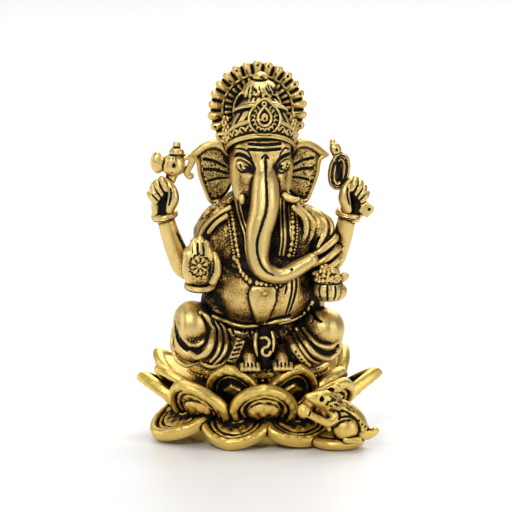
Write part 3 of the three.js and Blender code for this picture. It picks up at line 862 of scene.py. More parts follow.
LEFT_CORD = [(-7.3, 73.5), (-6.3, 68.5), (-4.9, 63.5), (-4.6, 59.0), (-3.6, 54.5), (-1.8, 51.5)]
LEFT_BEADS = [(-9.2, 73.2), (-8.5, 68.6), (-8.0, 64.6), (-7.4, 60.4), (-6.8, 57.6)]
LEFT_DROPS = [(-8.2, 57.0), (-7.0, 55.6), (-6.4, 53.4), (-5.2, 51.8), (-3.6, 50.4)]
RIGHT_CORD = [(7.3, 74.0), (7.2, 68.0), (7.2, 62.0), (6.6, 57.6)]
RIGHT_BEADS = [(9.8, 73.6), (9.7, 68.6), (9.6, 64.6), (9.2, 61.0), (8.4, 57.4)]
OUTER_CORD = [(8.8, 74.0), (8.8, 68.0), (8.9, 63.6)]


def necklace():
    """Strands of beads and cords at both sides of the trunk, joined below it by a row of drops."""
    clay = clay_of("necklace", FINE, 2.8)
    base = MADE["torso"]
    for path in (LEFT_CORD, RIGHT_CORD):
        clay.add(line(base, path, 0.42, lift=0.35))
        clay.add(line(base, [(x + 1.1 * (1 if x < 0 else -1), z) for x, z in path], 0.36, lift=0.25))
    clay.add(line(base, OUTER_CORD, 0.32, lift=0.4))
    for path in (LEFT_BEADS, RIGHT_BEADS):
        strand = laid(base, path, 0.35)
        clay.add(even_bar(strand, 0.3))
        clay.add(*beads(strand, 0.72, 1.75), blend=0.15)
        edge = laid(base, [(x + 1.35 * (-1 if x < 0 else 1), z) for x, z in path], 0.15)
        clay.add(*beads(edge, 0.42, 0.95), blend=0.1)
    for path in (LEFT_DROPS, [(-1.6, 50.0), (1.0, 49.4), (3.8, 49.8), (6.0, 51.2)]):
        for p in spaced(laid(base, path, 0.5), 1.5):
            clay.add(blob(p, (0.7, 0.6, 0.95)), blend=0.15)
            clay.add(blob(p + (0.4, 0.1, -1.3), 0.45), blend=0.1)
    for a in np.linspace(0.15, math.pi - 0.15, 16):  # the strand goes on round the neck, under the ears
        clay.add(
            blob((0.3 + 10.0 * math.cos(a), -6.5 + 7.0 * math.sin(a), 73.0 + 1.6 * math.sin(a)), 0.8),
            blend=0.1,
        )
    return clay


def shawl():
    """The cloth over both shoulders: an edge on the right, nested folds on the left, a drape behind."""
    clay = clay_of("shawl", MEDIUM, 3.2)
    neck = [
        [-18.6, -4.4, 60.6, 1.4],
        [-16.8, -4.6, 65.4, 1.7],
        [-12.6, -4.4, 69.8, 1.9],
        [-8.6, -0.5, 72.6, 2.1],
        [-6.0, 6.0, 73.4, 2.2],
    ]
    neck += [
        [0, 8.6, 73.4, 2.2],
        [6.0, 6.0, 73.4, 2.2],
        [8.8, -0.5, 72.8, 2.1],
        [12.8, -3.6, 70.2, 1.9],
        [17.0, -4.4, 66.0, 1.8],
    ]
    clay.add(Limb(neck))
    folds = (
        [[9.9, -9.6, 72.0, 0.8], [13.4, -9.4, 68.4, 1.0], [13.4, -9.8, 63.8, 1.0], [10.8, -10.4, 59.4, 0.8]],
        [[11.6, -7.6, 71.8, 0.8], [15.4, -7.4, 67.6, 1.0], [15.2, -8.2, 63.0, 1.05], [11.4, -9.8, 58.4, 0.8]],
        [[14.2, -5.4, 70.8, 0.9], [19.2, -5.2, 67.2, 1.15], [19.4, -6.2, 63.4, 1.2], [17.4, -8.0, 59.6, 0.9]],
        [[16.0, -3.4, 70.4, 1.1], [20.9, -3.4, 66.6, 1.4], [21.2, -4.6, 62.8, 1.4], [18.2, -7.4, 58.6, 1.0]],
    )
    for rows in folds:
        clay.add(Limb(rows), blend=0.25)
    clay.add(blob((15.6, -4.0, 64.6), (4.6, 4.4, 6.4)), blend=0.5)
    for rows in folds[1:]:
        inner = [(x - 1.0, y - 0.7, z - 0.4) for x, y, z, _ in rows]
        clay.cut(thread(inner, 0.42), blend=0.1, ink=True)
    right_edge = [(-9.4, -8.6, 72.0), (-13.4, -8.0, 69.6), (-16.6, -6.8, 66.2), (-18.4, -6.0, 62.4)]
    clay.add(thread(right_edge, 0.75), blend=0.3)
    clay.cut(thread([(x + 0.3, y - 0.5, z - 1.3) for x, y, z in right_edge], 0.42), blend=0.1, ink=True)
    clay.add(thread([(-10.4, -9.6, 69.6), (-13.4, -9.2, 67.4), (-15.6, -8.2, 64.4)], 0.75), blend=0.4)
    for side in (-1, 1):  # the drape down the back, a loose sheet with folds
        clay.add(blob((side * 7.2, 8.4, 66.5), (8.0, 2.8, 7.5), (0, 0, -side * 14)), blend=1.5)
        for k in range(4):
            x = side * (2.6 + 3.2 * k)
            top = [x, 9.4 - 0.5 * k, 72.4 - 0.8 * k, 0.9]
            bottom = [x * 1.08, 11.0 - 1.0 * k, 59.4 + 0.4 * k, 0.8]
            clay.add(Limb([top, [x * 1.04, 11.0 - 0.8 * k, 66, 1.0], bottom]), blend=1.2)
    for k in range(5):  # curls of hair below each ear
        for side in (-1, 1):
            at = (side * (12.2 + 0.95 * k), -4.6 - 0.3 * (k % 2), 71.6 - 0.7 * k)
            tuft = blob((at[0] + 0.5 * side, at[1], at[2] + 1.3), 0.6)
            clay.add(ring(at, 0.75, 0.42, (90, 0, 0)), tuft, blend=0.15)
    return clay


# ---------------------------------------------------------------- arms and what they hold


def arm(node, rows):
    """A smooth arm through rows of x, y, z, radius."""
    clay = clay_of(node, MEDIUM, 3.0)
    clay.add(Limb(rows))
    return clay


def rear_right_arm():
    rows = [
        [-13.5, 4, 63, 4.4],
        [-20.0, 1.8, 53.0, 4.1],
        [-22.9, 0.6, 52.6, 3.6],
        [-25.0, -0.8, 57, 3.3],
        [-27.4, -2.8, 63.6, 2.9],
        [-28.9, -3.6, 69.2, 2.6],
    ]
    clay = arm("rear_right_arm", rows)
    clay.cut(
        thread([(-25.0, -4.4, 63.4), (-23.4, -3.4, 60.0), (-22.0, -2.6, 57.0)], 0.5), blend=0.2, ink=True
    )
    return clay


def rear_left_arm():
    rows = [
        [14.2, 4, 64, 4.2],
        [19.8, 2.6, 55.8, 3.9],
        [22.6, 1.0, 53.8, 3.5],
        [24.2, -0.8, 57, 3.2],
        [26.0, -2.8, 63.4, 2.9],
        [27.0, -3.6, 68.8, 2.7],
    ]
    clay = arm("rear_left_arm", rows)
    for dx, dy in ((-2.6, -1.6), (-1.1, -2.9)):
        path = [(25.0 + dx, -3.2 + dy, 64.6), (23.4 + dx, -1.8 + dy, 60), (22.0 + dx, -0.4 + dy, 56)]
        clay.cut(thread(path, 0.4), blend=0.2, ink=True)
    return clay


def front_right_arm():
    rows = [
        [-14.6, -2.5, 64, 4.6],
        [-17.8, -4, 55, 4.4],
        [-18.8, -5.5, 51, 4.0],
        [-19.0, -9.0, 49.4, 3.3],
        [-19.0, -12.6, 50.2, 2.8],
    ]
    clay = arm("front_right_arm", rows)
    clay.cut(thread([(-16.2, -6.6, 60), (-15.4, -7.6, 56), (-16.0, -8.6, 51.6)], 0.5), blend=0.4)
    return clay


def front_left_arm():
    rows = [[15.4, -2.5, 63, 4.2], [20, -4, 53, 3.9], [21.2, -6, 48.8, 3.7], [21.8, -10.4, 47.0, 3.2]]
    clay = arm("front_left_arm", rows)
    sleeves = (
        [[14.8, -7.6, 56.2, 0.9], [18.6, -8.4, 58.4, 1.15], [22.6, -6.4, 61.2, 1.1], [23.6, -3.6, 62.6, 0.9]],
        [[15.2, -8.6, 53.6, 0.8], [19.4, -9.0, 55.4, 1.15], [23.2, -7.0, 58.0, 1.1], [24.2, -4.2, 59.2, 0.9]],
        [[16.2, -9.2, 51.4, 0.7], [20.0, -9.6, 52.6, 1.0], [23.6, -7.6, 55.0, 1.0], [24.6, -5.0, 56.2, 0.8]],
    )
    for rows in sleeves:
        clay.add(Limb(rows), blend=0.3)
        clay.cut(thread([(x, y - 0.5, z - 1.2) for x, y, z, _ in rows], 0.5), blend=0.1, ink=True)
    return clay


BANGLES = {  # middle, radius, thickness and turn in degrees
    "rear_right_bangle": ((-28.9, -3.6, 69.1), 3.1, 1.2, (8, -14, 0)),
    "rear_left_bangle": ((27.1, -3.6, 68.9), 2.9, 1.15, (8, 10, 0)),
    "front_right_bangle": ((-18.9, -14.0, 49.0), 3.9, 0.95, (12, 0, 0)),
}


def bangle(node):
    """A round bangle with one groove, black on its lower half."""
    at, radius, thick, turn = BANGLES[node]
    clay = clay_of(node, FINE, 2.0)
    clay.add(ring(at, radius, thick, turn))
    clay.cut(ring(at, radius + 0.98 * thick, 0.24, turn), blend=0.1)
    clay.blacken(ring(np.array(at) - (0, 0, 0.55 * thick), radius + 0.9 * thick, 0.22, turn))
    return clay


FIST_FINGERS = (
    [[-30.0, -6.6, 80.6, 1.0], [-29.6, -7.9, 79.2, 1.15], [-28.7, -7.7, 77.3, 1.05]],
    [[-31.4, -6.4, 79.5, 1.0], [-31.0, -7.8, 77.9, 1.15], [-29.8, -7.7, 75.9, 1.05]],
    [[-32.7, -6.1, 77.9, 1.0], [-32.2, -7.4, 76.4, 1.15], [-30.9, -7.4, 74.8, 1.0]],
    [[-33.6, -5.7, 76.0, 0.95], [-32.9, -7.0, 75.0, 1.05], [-31.8, -7.0, 73.8, 0.95]],
)


def fist(clay, flip=lambda p: p):
    """A closed hand: four curled fingers, a leaf-like thumb, and a dark gap between them."""

    def limb(rows):
        return Limb([[*flip(np.array(p[:3])), p[3]] for p in rows])

    clay.add(limb([[-29.2, -3.4, 68.6, 2.9], [-29.6, -3.2, 73, 3.0], [-30.4, -3.4, 77.4, 2.9]]))
    clay.add(limb([[-31.6, -4.6, 69.6, 1.3], [-31.9, -5.0, 72.2, 1.2], [-31.6, -5.2, 74.4, 1.2]]), blend=0.4)
    clay.cut(
        limb([[-30.2, -7.2, 69.8, 1.6], [-29.8, -7.4, 73.4, 1.5], [-28.8, -7.8, 76.6, 1.0]]),
        blend=0.2,
        ink=True,
    )
    for rows in FIST_FINGERS:
        clay.add(limb(rows), blend=0.08)
    for upper, lower in zip(FIST_FINGERS, FIST_FINGERS[1:]):
        clay.cut(
            limb([[*((np.array(a) + b)[:3] / 2 - (0, 1.0, 0)), 0.32] for a, b in zip(upper, lower)]),
            ink=True,
        )
    thumb = [
        [-28.5, -6.6, 79.8, 1.15],
        [-27.0, -7.4, 77.6, 1.6],
        [-26.6, -7.4, 74.6, 1.95],
        [-27.6, -6.8, 71.6, 1.7],
    ]
    clay.add(limb(thumb), blend=0.15)
    clay.cut(limb([[-27.4, -9.0, 78.0, 0.3], [-27.4, -9.4, 75.6, 0.38], [-28.0, -8.9, 73.0, 0.3]]), ink=True)
    return clay


def rear_right_hand():
    return fist(clay_of("rear_right_hand", FINE, 2.8))


def rear_left_hand():
    """The mirrored fist, with a small nub beside the thumb where the noose's cord passes through."""

    def flip(p):
        return np.array((-0.9 - p[0], p[1], p[2] - 0.5))

    clay = fist(clay_of("rear_left_hand", FINE, 2.8), flip)
    clay.add(Limb([[29.2, -7.6, 72.4, 0.85], [29.4, -7.4, 70.4, 0.8]]), blend=0.1)
    return clay


def axe():
    """The axe: a blade disc, a round socket body with a stepped finial, and a curled hook."""
    clay = clay_of("axe", FINE, 1.6)
    clay.add(blob((-26.2, -5, 84.4), (3.6, 3.0, 3.4)))
    clay.add(blob((-26.2, -5, 86.4), (2.9, 2.6, 1.8)), blend=0.8)
    clay.add(blob((-31.0, -5, 85.5), (2.3, 1.6, 3.4)), blend=0.5)
    clay.add(Limb([[-26.4, -5, 82.4, 1.7], [-27.2, -5.2, 80.2, 1.7]]), blend=0.3)
    clay.cut(blob((-29.4, -5, 88.6), (0.9, 3, 1.2)), blend=0.3)
    clay.cut(thread([(-29.6, -8, 83.0), (-29.2, -7.2, 85.6), (-29.4, -7, 88)], 0.3), ink=True)
    clay.add(
        turned(
            [
                (1.6, -1.4),
                (2.35, -0.6),
                (2.35, 0.3),
                (1.5, 1.3),
                (1.15, 1.5),
                (1.3, 2.2),
                (0.9, 3.1),
                (0.2, 3.5),
            ],
            (-25.3, -5, 88.6),
        ),
        blend=0.1,
    )
    clay.cut(ring((-25.3, -5, 87.9), 2.35, 0.3), ring((-25.3, -5, 90.2), 1.35, 0.28), ink=True)
    for k in range(5):
        x = -27.6 + 0.95 * k
        clay.cut(Limb([[x, -7.4, 87.8, 0.24], [x + 0.1, -7.9, 86.2, 0.12]], steps=0), ink=True)
    clay.cut(blob((-26.3, -8, 85.0), (0.5, 0.7, 0.75)), ink=True)
    hook = [
        [-23.6, -5, 86.6, 0.9],
        [-21.8, -5, 87.2, 1.0],
        [-20.7, -5, 85.8, 1.0],
        [-21.4, -5, 84.0, 1.0],
        [-22.3, -5, 82.4, 1.0],
        [-21.5, -5, 81.2, 1.1],
    ]
    clay.add(Limb(hook), blend=0.15)
    clay.add(blob((-21.2, -5, 81.2), 1.15), blend=0.1)
    clay.cut(
        blob((-26.9, -7.6, 82.6), (0.35, 0.6, 0.35)),
        blob((-31.6, -6.6, 86.0), 0.35),
        blob((-31.9, -6.6, 85.0), 0.3),
    )
    return clay


def noose():
    """The noose: a flattened loop with a groove all round, a bud on top and a handle end past the hand."""
    clay = clay_of("noose", FINE, 1.6)
    m = rotation((90, 0, 0)) @ rotation((0, 0, -10))

    def loop(share, y, count):
        return [
            np.array((24.2, y, 82.2)) + m @ (*polar((0, 0), (2.1 * share, 4.6 * share), a), 0)
            for a in around(count)
        ]

    clay.add(thread(loop(1, -5, 20), 1.3, closed=True))
    for share in (0.93, 1.12):
        clay.cut(thread(loop(share, -6.28, 24), 0.2, closed=True), ink=True)
    clay.add(blob((24.2, -4.6, 82.2), (2.4, 0.6, 4.6)))
    clay.blacken(blob((24.2, -5.6, 82.2), (0.85, 2.0, 3.5), (0, -10, 0)))
    clay.add(
        Limb([[23.5, -5, 87.6, 1.5], [23.0, -5, 89.2, 1.75], [22.3, -5, 90.6, 1.0], [22.2, -5, 91.4, 0.85]]),
        blend=0.1,
    )
    clay.cut(
        ring((23.5, -5, 87.6), 1.8, 0.28, (0, -15, 0)), blob((23.3, -6.9, 89), (0.35, 0.5, 0.6)), ink=True
    )
    clay.add(
        Limb(
            [
                [26.0, -5, 79, 1.0],
                [29.0, -5.6, 74.6, 1.5],
                [31.0, -6.0, 71.8, 1.7],
                [33.0, -6.2, 70.4, 1.75],
            ]
        ),
        blend=0.3,
    )
    clay.add(block((32.4, -6.2, 70.6), (1.9, 1.7, 1.9), (0, 40, 0), soft=0.6), blend=0.3)
    clay.cut(blob((33.2, -8.0, 70.8), (0.5, 0.5, 0.4)), ink=True)
    return clay


PALM_CUTS = (  # plain leaf cuts round the palm: x and z of one end, and how far the other end lies
    (-21.6, 50.9, 1.0, -0.5),
    (-19.0, 50.4, 0.9, 0.1),
    (-23.2, 57.0, 0.3, 1.6),
    (-23.0, 52.6, 0.5, -1.2),
    (-22.6, 59.4, 0.6, 1.0),
    (-16.9, 51.2, 0.6, 0.7),
    (-19.9, 49.2, 0.2, 1.0),
)


def front_right_hand():
    """The open palm, its fingers close together, with a plain rosette on it."""
    clay = clay_of("front_right_hand", FINE, 2.8)
    clay.add(blob((-19.0, -14.8, 55.0), (5.3, 2.6, 7.6)))
    for x, top in ((-22.4, 59.8), (-20.6, 62.2), (-18.7, 62.9), (-16.9, 61.6)):
        clay.add(
            Limb(
                [[x * 0.6 - 7.6, -14.9, 55, 1.6], [x, -14.9, 58.6, 1.5], [x * 0.94 - 1.2, -14.2, top, 1.35]]
            ),
            blend=0.5,
        )
    clay.add(
        Limb(
            [
                [-15.4, -15.0, 50.6, 1.8],
                [-13.9, -15.4, 53.6, 1.5],
                [-13.9, -15.4, 56.4, 1.25],
                [-14.4, -15.0, 58.6, 0.9],
            ]
        ),
        blend=0.25,
    )
    clay.cut(
        Limb(
            [
                [-15.6, -17.2, 59.2, 0.5],
                [-15.4, -17.4, 56.4, 0.65],
                [-15.9, -17.4, 53.4, 0.6],
                [-16.6, -17.2, 51.6, 0.3],
            ]
        ),
        blend=0.1,
        ink=True,
    )
    for x in (-21.4, -19.6, -17.8):
        clay.cut(
            Limb([[x, -17.0, 59.2, 0.28], [x * 0.94 - 1.2, -15.9, 62.6, 0.36]], steps=0),
            blend=0.05,
            ink=True,
        )
    middle = (-19.2, -17.25, 55.6)
    clay.add(blob(middle, (0.75, 0.5, 0.75)), blend=0.1)
    for a in around(8, 0.2):
        at = (middle[0] + 1.8 * math.cos(a), middle[1] + 0.1, middle[2] + 1.9 * math.sin(a))
        clay.add(blob(at, (0.95, 0.55, 0.5), (0, -math.degrees(a), 0)), blend=0.08)
        side = (middle[0] + 1.5 * math.cos(a + 0.39), middle[1] - 0.25, middle[2] + 1.55 * math.sin(a + 0.39))
        clay.cut(blob(side, (0.3, 0.6, 0.34)), ink=True)
    rng = np.random.default_rng(8)
    for a in around(15):  # a broken ring of leaf cuts round the rosette
        r = 3.1 + 0.25 * rng.uniform(-1, 1)
        at = np.array((middle[0] + r * math.cos(a), middle[1] + 0.2, middle[2] + 1.05 * r * math.sin(a)))
        step = np.array((-0.5 * math.sin(a + 0.5), 0, 0.5 * math.cos(a + 0.5)))
        clay.cut(Limb([[*(at - step), 0.3], [*(at + step), 0.2]], steps=0), ink=True)
    for x, z, dx, dz in PALM_CUTS:
        clay.cut(Limb([[x, -17.2, z, 0.3], [x + dx, -17.2, z + dz, 0.22]], steps=0), ink=True)
    return clay


def front_left_hand():
    """The hand under the sweet bowl, its fingers round the bowl's outer side."""
    clay = clay_of("front_left_hand", FINE, 2.6)
    clay.add(blob((22.2, -12.0, 46.4), (4.0, 3.6, 3.2)))
    for k in range(4):
        z = 45.6 + 1.5 * k
        clay.add(
            Limb([[23.0, -10.4, z - 1.6, 1.0], [23.6, -12.4, z - 0.6, 0.95], [23.4, -14.0, z, 0.85]]),
            blend=0.12,
        )
    clay.add(Limb([[23.6, -13.6, 50.0, 1.2], [25.2, -14.6, 51.4, 1.3]]), blend=0.2)
    return clay


def modak_bowl():
    """A ribbed bowl heaped with small sweets."""
    clay = clay_of("modak_bowl", FINE, 1.8)
    x, y = 20.0, -15.0
    clay.add(
        turned([(1.8, 43.9), (3.0, 44.4), (4.1, 46.0), (4.3, 47.8), (3.9, 49.4), (3.5, 50.2)], (x, y, 0))
    )
    for a in around(10, 0.2):
        path = [(*polar((x, y), r, a), z) for r, z in ((3.4, 44.7), (4.2, 46.2), (4.35, 47.8), (4.1, 48.9))]
        clay.cut(thread(path, 0.36), blend=0.1, ink=True)
    clay.cut(ring((x, y, 49.7), 4.0, 0.3), ink=True)
    rng = np.random.default_rng(11)
    for count, radius, height in (
        (17, 3.6, 50.7), (14, 3.1, 51.9), (11, 2.5, 53.0), (8, 1.7, 54.0), (4, 0.8, 54.7)
    ):
        for a in around(count, rng.uniform(0, 1)):
            at = (*polar((x, y), radius, a), height + rng.uniform(-0.4, 0.4))
            clay.add(blob(at, rng.uniform(0.6, 0.85)), blend=0.03)
    clay.add(blob((x, y, 51), (2.8, 2.8, 3.0)))
    return clay


# ---------------------------------------------------------------- legs and feet


def right_leg():
    """The figure's right leg: a big smooth knee wrapped by nested folds of the cloth."""
    clay = clay_of("right_leg", MEDIUM, 3.2)
    clay.add(Limb([[-9, 1, 32, 7.0], [-17.5, -3.0, 33.6, 6.6], [-20.4, -7.0, 31.4, 6.2]]))
    clay.add(Limb([[-20.6, -9.0, 29.4, 5.2], [-15.4, -12.0, 28.6, 4.8], [-9.0, -14.4, 27.6, 3.6]]), blend=2)
    clay.add(blob((-17.6, -1.8, 35.4), (7.2, 8.0, 6.2)), blend=2)
    clay.add(blob((-21.0, -8.4, 36.0), (6.0, 6.6, 7.3)), blend=1.2)
    clay.cut(blob((-27.6, -11.0, 37.4), (2.2, 5.0, 5.0), (0, 0, 20)), blend=1.5)
    hollow = [(-26.2, 35.4), (-25.2, 31.6), (-22.8, 29.2), (-19.8, 29.2), (-17.9, 30.8)]
    clay.cut(line(clay, hollow, 1.2, lift=0.1, taper=0.6), blend=0.9)
    # black ink in the hollow under the knee: partly patina, partly painted shade
    clay.cut(line(clay, hollow, 0.55, taper=0.6), blend=0.2, ink=True)
    ridges = (
        (
            [(-18.6, 40.6), (-16.4, 38.6), (-15.0, 34.6), (-16.4, 29.7), (-19.4, 27.2), (-22.0, 28.4)],
            1.05,
            0.9,
        ),
        ([(-14.9, 39.4), (-12.7, 34.0), (-13.6, 29.3), (-15.8, 26.0)], 0.62, 0.55),
        ([(-13.4, 38.6), (-10.9, 33.4), (-11.6, 29.2), (-14.6, 25.0)], 0.62, 0.5),
    )
    for path, radius, lift in ridges:
        clay.add(line(clay, path, radius, lift=lift, taper=0.35), blend=0.3)
    grooves = (
        [(-18.4, 40.0), (-17.2, 37.6), (-16.5, 34.4), (-17.6, 30.9), (-19.8, 29.2)],
        [(-15.8, 39.4), (-13.7, 34.2), (-14.7, 29.4), (-17.2, 26.4)],
        [(-14.2, 38.8), (-11.8, 33.6), (-12.6, 29.2), (-15.4, 25.4)],
        [(-12.4, 37.6), (-9.8, 33.0), (-10.4, 29.0), (-12.6, 25.8)],
    )
    for path in grooves:
        clay.cut(line(clay, path, 0.5, lift=0.15, taper=0.4), blend=0.1, ink=True)
    hem = [
        [-26.4, -6.0, 34.4, 0.6],
        [-27.0, -7.6, 29.6, 0.7],
        [-25.8, -9.8, 25.6, 0.75],
        [-22.9, -12.0, 23.9, 0.75],
        [-19.6, -13.6, 25.2, 0.6],
    ]
    clay.add(Limb(hem), blend=0.3)
    clay.cut(Limb([[x * 0.93 - 0.6, y - 0.6, z + 0.8, 0.4] for x, y, z, _ in hem[1:]]), blend=0.1, ink=True)
    clay.add(
        Limb(
            [
                [-18.6, -13.6, 25.4, 0.6],
                [-16.0, -15.4, 24.2, 0.7],
                [-12.8, -16.4, 24.8, 0.65],
                [-10.8, -17.0, 26.4, 0.55],
            ]
        ),
        blend=0.3,
    )
    anklet(clay, (-8.2, -16.6, 29.2), (0, 24, 14), 3.9)
    for k in range(4):  # gathers of the cloth on the outer side and back of the thigh
        a = 2.4 + 0.42 * k
        top = [*polar((-19.5, -4), (7.4, 8.6), a), 37.0, 0.35]
        rows = [top, [*polar((-20, -4), (8.6, 9.6), a), 25.5, 0.5]]
        clay.cut(Limb(rows), blend=0.5)
    return clay


def anklet(clay, at, turn, half):
    """A band across the shin with slanted bars between two edges."""
    m = rotation(turn)
    clay.add(block(at, (1.5, 0.9, half), turn, soft=0.4), blend=0.2)

    def on(x, y, z):
        return np.array(at) + m @ np.array((x, y, z))

    for k in range(5):
        low, high = on(-0.85, -0.95, -half + 0.9 + 1.5 * k), on(0.85, -0.95, -half + 2.0 + 1.5 * k)
        clay.cut(Limb([[*low, 0.27], [*high, 0.27]], steps=0), ink=True)
    for side in (-1, 1):
        low, high = on(side * 1.75, -0.7, -half), on(side * 1.75, -0.7, half)
        clay.cut(Limb([[*low, 0.32], [*high, 0.32]], steps=0), ink=True)


def left_leg():
    """The figure's left leg: a smooth knee above slanting folds and a studded cuff."""
    clay = clay_of("left_leg", MEDIUM, 3.2)
    clay.add(Limb([[9, 1, 32, 7.0], [16.5, -3.0, 32.6, 6.2], [19.4, -7.0, 30.6, 5.6]]))
    clay.add(Limb([[19.6, -9.0, 28.6, 4.8], [15.2, -12.0, 28.2, 4.7], [10.2, -14.2, 27.8, 3.9]]), blend=2)
    clay.add(blob((16.6, -1.8, 34.6), (7.0, 8.0, 5.8)), blend=2)
    clay.add(blob((19.5, -8.0, 34.2), (6.3, 6.8, 6.3), (0, -20, 0)), blend=1.2)
    ridges = (
        ([(12.9, 34.6), (16.6, 30.8), (20.8, 29.6), (23.6, 30.8)], 0.7, 0.5),
        ([(10.9, 34.2), (15.8, 28.1), (20.4, 26.0), (23.0, 27.2)], 0.85, 0.7),
        ([(9.6, 33.6), (13.6, 27.4), (17.0, 24.8)], 0.6, 0.5),
    )
    for path, radius, lift in ridges:
        clay.add(line(clay, path, radius, lift=lift, taper=0.35), blend=0.3)
    grooves = (
        ([(14.2, 34.2), (18.1, 31.5), (21.4, 30.7)], 0.36),
        ([(12.2, 33.2), (17.6, 28.6), (21.4, 27.8), (23.8, 29.6)], 0.75),
        ([(10.4, 33.0), (14.8, 27.2), (18.2, 25.0)], 0.5),
        ([(8.8, 32.6), (12.6, 27.0), (15.4, 24.4)], 0.42),
    )
    for path, radius in grooves:
        clay.cut(line(clay, path, radius, lift=0.15, taper=0.4), blend=0.1, ink=True)
    cuff = laid(clay, [(8.6, 31.4), (11.2, 27.6), (13.6, 24.6)], 0.2)
    clay.add(even_bar(cuff, 1.15), blend=0.2)
    clay.cut(ring(cuff[2] + (0, -1.1, 0), 0.62, 0.2, (90, 0, 0)), ink=True)
    for p in spaced(cuff[8:], 1.5):
        clay.cut(blob(p + (-0.2, -1.1, 0), 0.34), ink=True)
    for k in range(3):  # creases where the thigh meets the waist
        clay.cut(
            line(
                clay,
                [(13.4 + 1.6 * k, 40.4), (13.0 + 1.5 * k, 38), (12.6 + 1.3 * k, 36.4)],
                0.4,
                taper=0.5,
            ),
            ink=True,
        )
    clay.cut(line(clay, [(15.2, 41.6), (16.4, 38.4), (18.2, 37.4)], 0.55, lift=0.1, taper=0.5), blend=0.5)
    clay.cut(line(clay, [(15.6, 40.8), (16.8, 38.0), (18.4, 37.2)], 0.3, lift=0.1, taper=0.5), ink=True)
    clay.cut(blob((22.8, -12.0, 29.6), (2.6, 1.6, 0.8), (0, 24, 0)), blend=0.6)
    for k in range(4):
        a = 0.75 - 0.42 * k
        top = [*polar((18.5, -4), (7.0, 8.4), a), 36.0, 0.35]
        rows = [top, [*polar((19, -4), (8.0, 9.2), a), 25.5, 0.5]]
        clay.cut(Limb(rows), blend=0.5)
    return clay


FEET = {  # the x of the toes' middle and the place of the ankle
    "right_foot": (-4.1, (-5.4, -13.6, 27.6)),
    "left_foot": (6.0, (6.6, -13.6, 28.2)),
}
TOE_GAP = 1.18


def foot(node):
    """A bare foot pointing forward, with five toes and a larger big toe."""
    x, ankle = FEET[node]
    clay = clay_of(node, FINE, 2.4)
    clay.add(Limb([[*ankle, 2.3], [x, -17.0, 26.8, 2.2], [x, -19.2, 25.6, 1.9]]))
    clay.add(blob((x, -19.6, 24.9), (2.7, 2.0, 1.7)), blend=0.8)
    for k in range(5):
        at = x + (k - 2) * TOE_GAP
        size = 0.72 + 0.14 * (k == (4 if x < 0 else 0))
        clay.add(
            Limb([[at, -19.8, 25.4, size], [at * 0.98 + 0.02 * x, -21.7, 24.4, size]], steps=0), blend=0.12
        )
    for k in range(4):
        at = x + (k - 1.5) * TOE_GAP
        clay.cut(
            Limb([[at, -19.0, 26.8, 0.2], [at, -21.0, 26.0, 0.3], [at, -22.6, 25.0, 0.3]], steps=0),
            ink=True,
        )
    return clay


# ---------------------------------------------------------------- head

EYES = (  # the viewer's-left eye and the viewer's-right eye; lines are (x, z) points on the face
    dict(
        x=-5.2,
        z=84.9,
        slant=24,
        side=-1,
        lid=[(-8.1, 87.6), (-6.4, 88.4), (-4.4, 87.6), (-3.0, 86.4), (-2.3, 85.2)],
        brow=[(-7.9, 89.8), (-5.8, 90.2), (-4.1, 89.4), (-2.7, 87.2)],
        lower=[(-7.6, 85.4), (-7.0, 84.0), (-5.9, 83.1), (-4.4, 83.2), (-3.0, 83.8)],
    ),
    dict(
        x=6.8,
        z=84.9,
        slant=-24,
        side=1,
        lid=[(9.3, 88.2), (7.5, 88.0), (5.6, 86.9), (4.5, 85.4)],
        brow=[(9.0, 89.5), (7.4, 90.3), (6.1, 89.0), (5.3, 87.3)],
        lower=[(8.9, 85.2), (7.8, 83.5), (6.6, 82.8), (5.4, 83.0), (4.6, 83.8)],
    ),
)
TRUNK = [
    [1.0, -9.0, 85.4, 2.6],
    [1.0, -11.0, 82.4, 3.5],
    [1.1, -12.6, 79.0, 4.05],
    [1.0, -13.8, 74.0, 4.25],
    [0.2, -14.6, 70.0, 4.15],
    [-0.9, -15.1, 66.0, 3.9],
    [-1.3, -15.7, 61.2, 3.5],
    [-1.3, -16.1, 57.6, 3.2],
    [0.0, -16.7, 54.5, 2.95],
    [2.6, -17.1, 52.8, 2.6],
    [6.1, -17.3, 52.4, 2.35],
    [10.9, -17.1, 54.6, 2.3],
    [14.9, -16.8, 56.9, 2.0],
]
TRUNK_LINE = [
    (1.2, 88.0),
    (1.2, 81.8),
    (1.2, 73.7),
    (-0.2, 68.7),
    (-1.7, 63.7),
    (-1.8, 60.3),
    (-0.9, 56.9),
    (0.7, 54.3),
    (3.2, 52.9),
]


def trunk():
    """The smooth trunk with one black line down its front."""
    clay = clay_of("trunk", FINE, 2.6)
    clay.add(Limb(TRUNK))
    clay.add(Limb([[x, y + 0.9, z, r * 0.97] for x, y, z, r in TRUNK[2:]]), blend=0.6)
    clay.cut(block((18.7, -17, 58.2), (1.2, 4, 4), (0, 28, 0), soft=0.2), blend=0.4)
    path = line(clay, TRUNK_LINE, 0.46, lift=0.12, taper=0.45)
    clay.cut(path, blend=0.12, ink=True)
    clay.cut(blob((8.7, -19.6, 54.6), (0.5, 0.8, 0.45)), ink=True)
    return clay


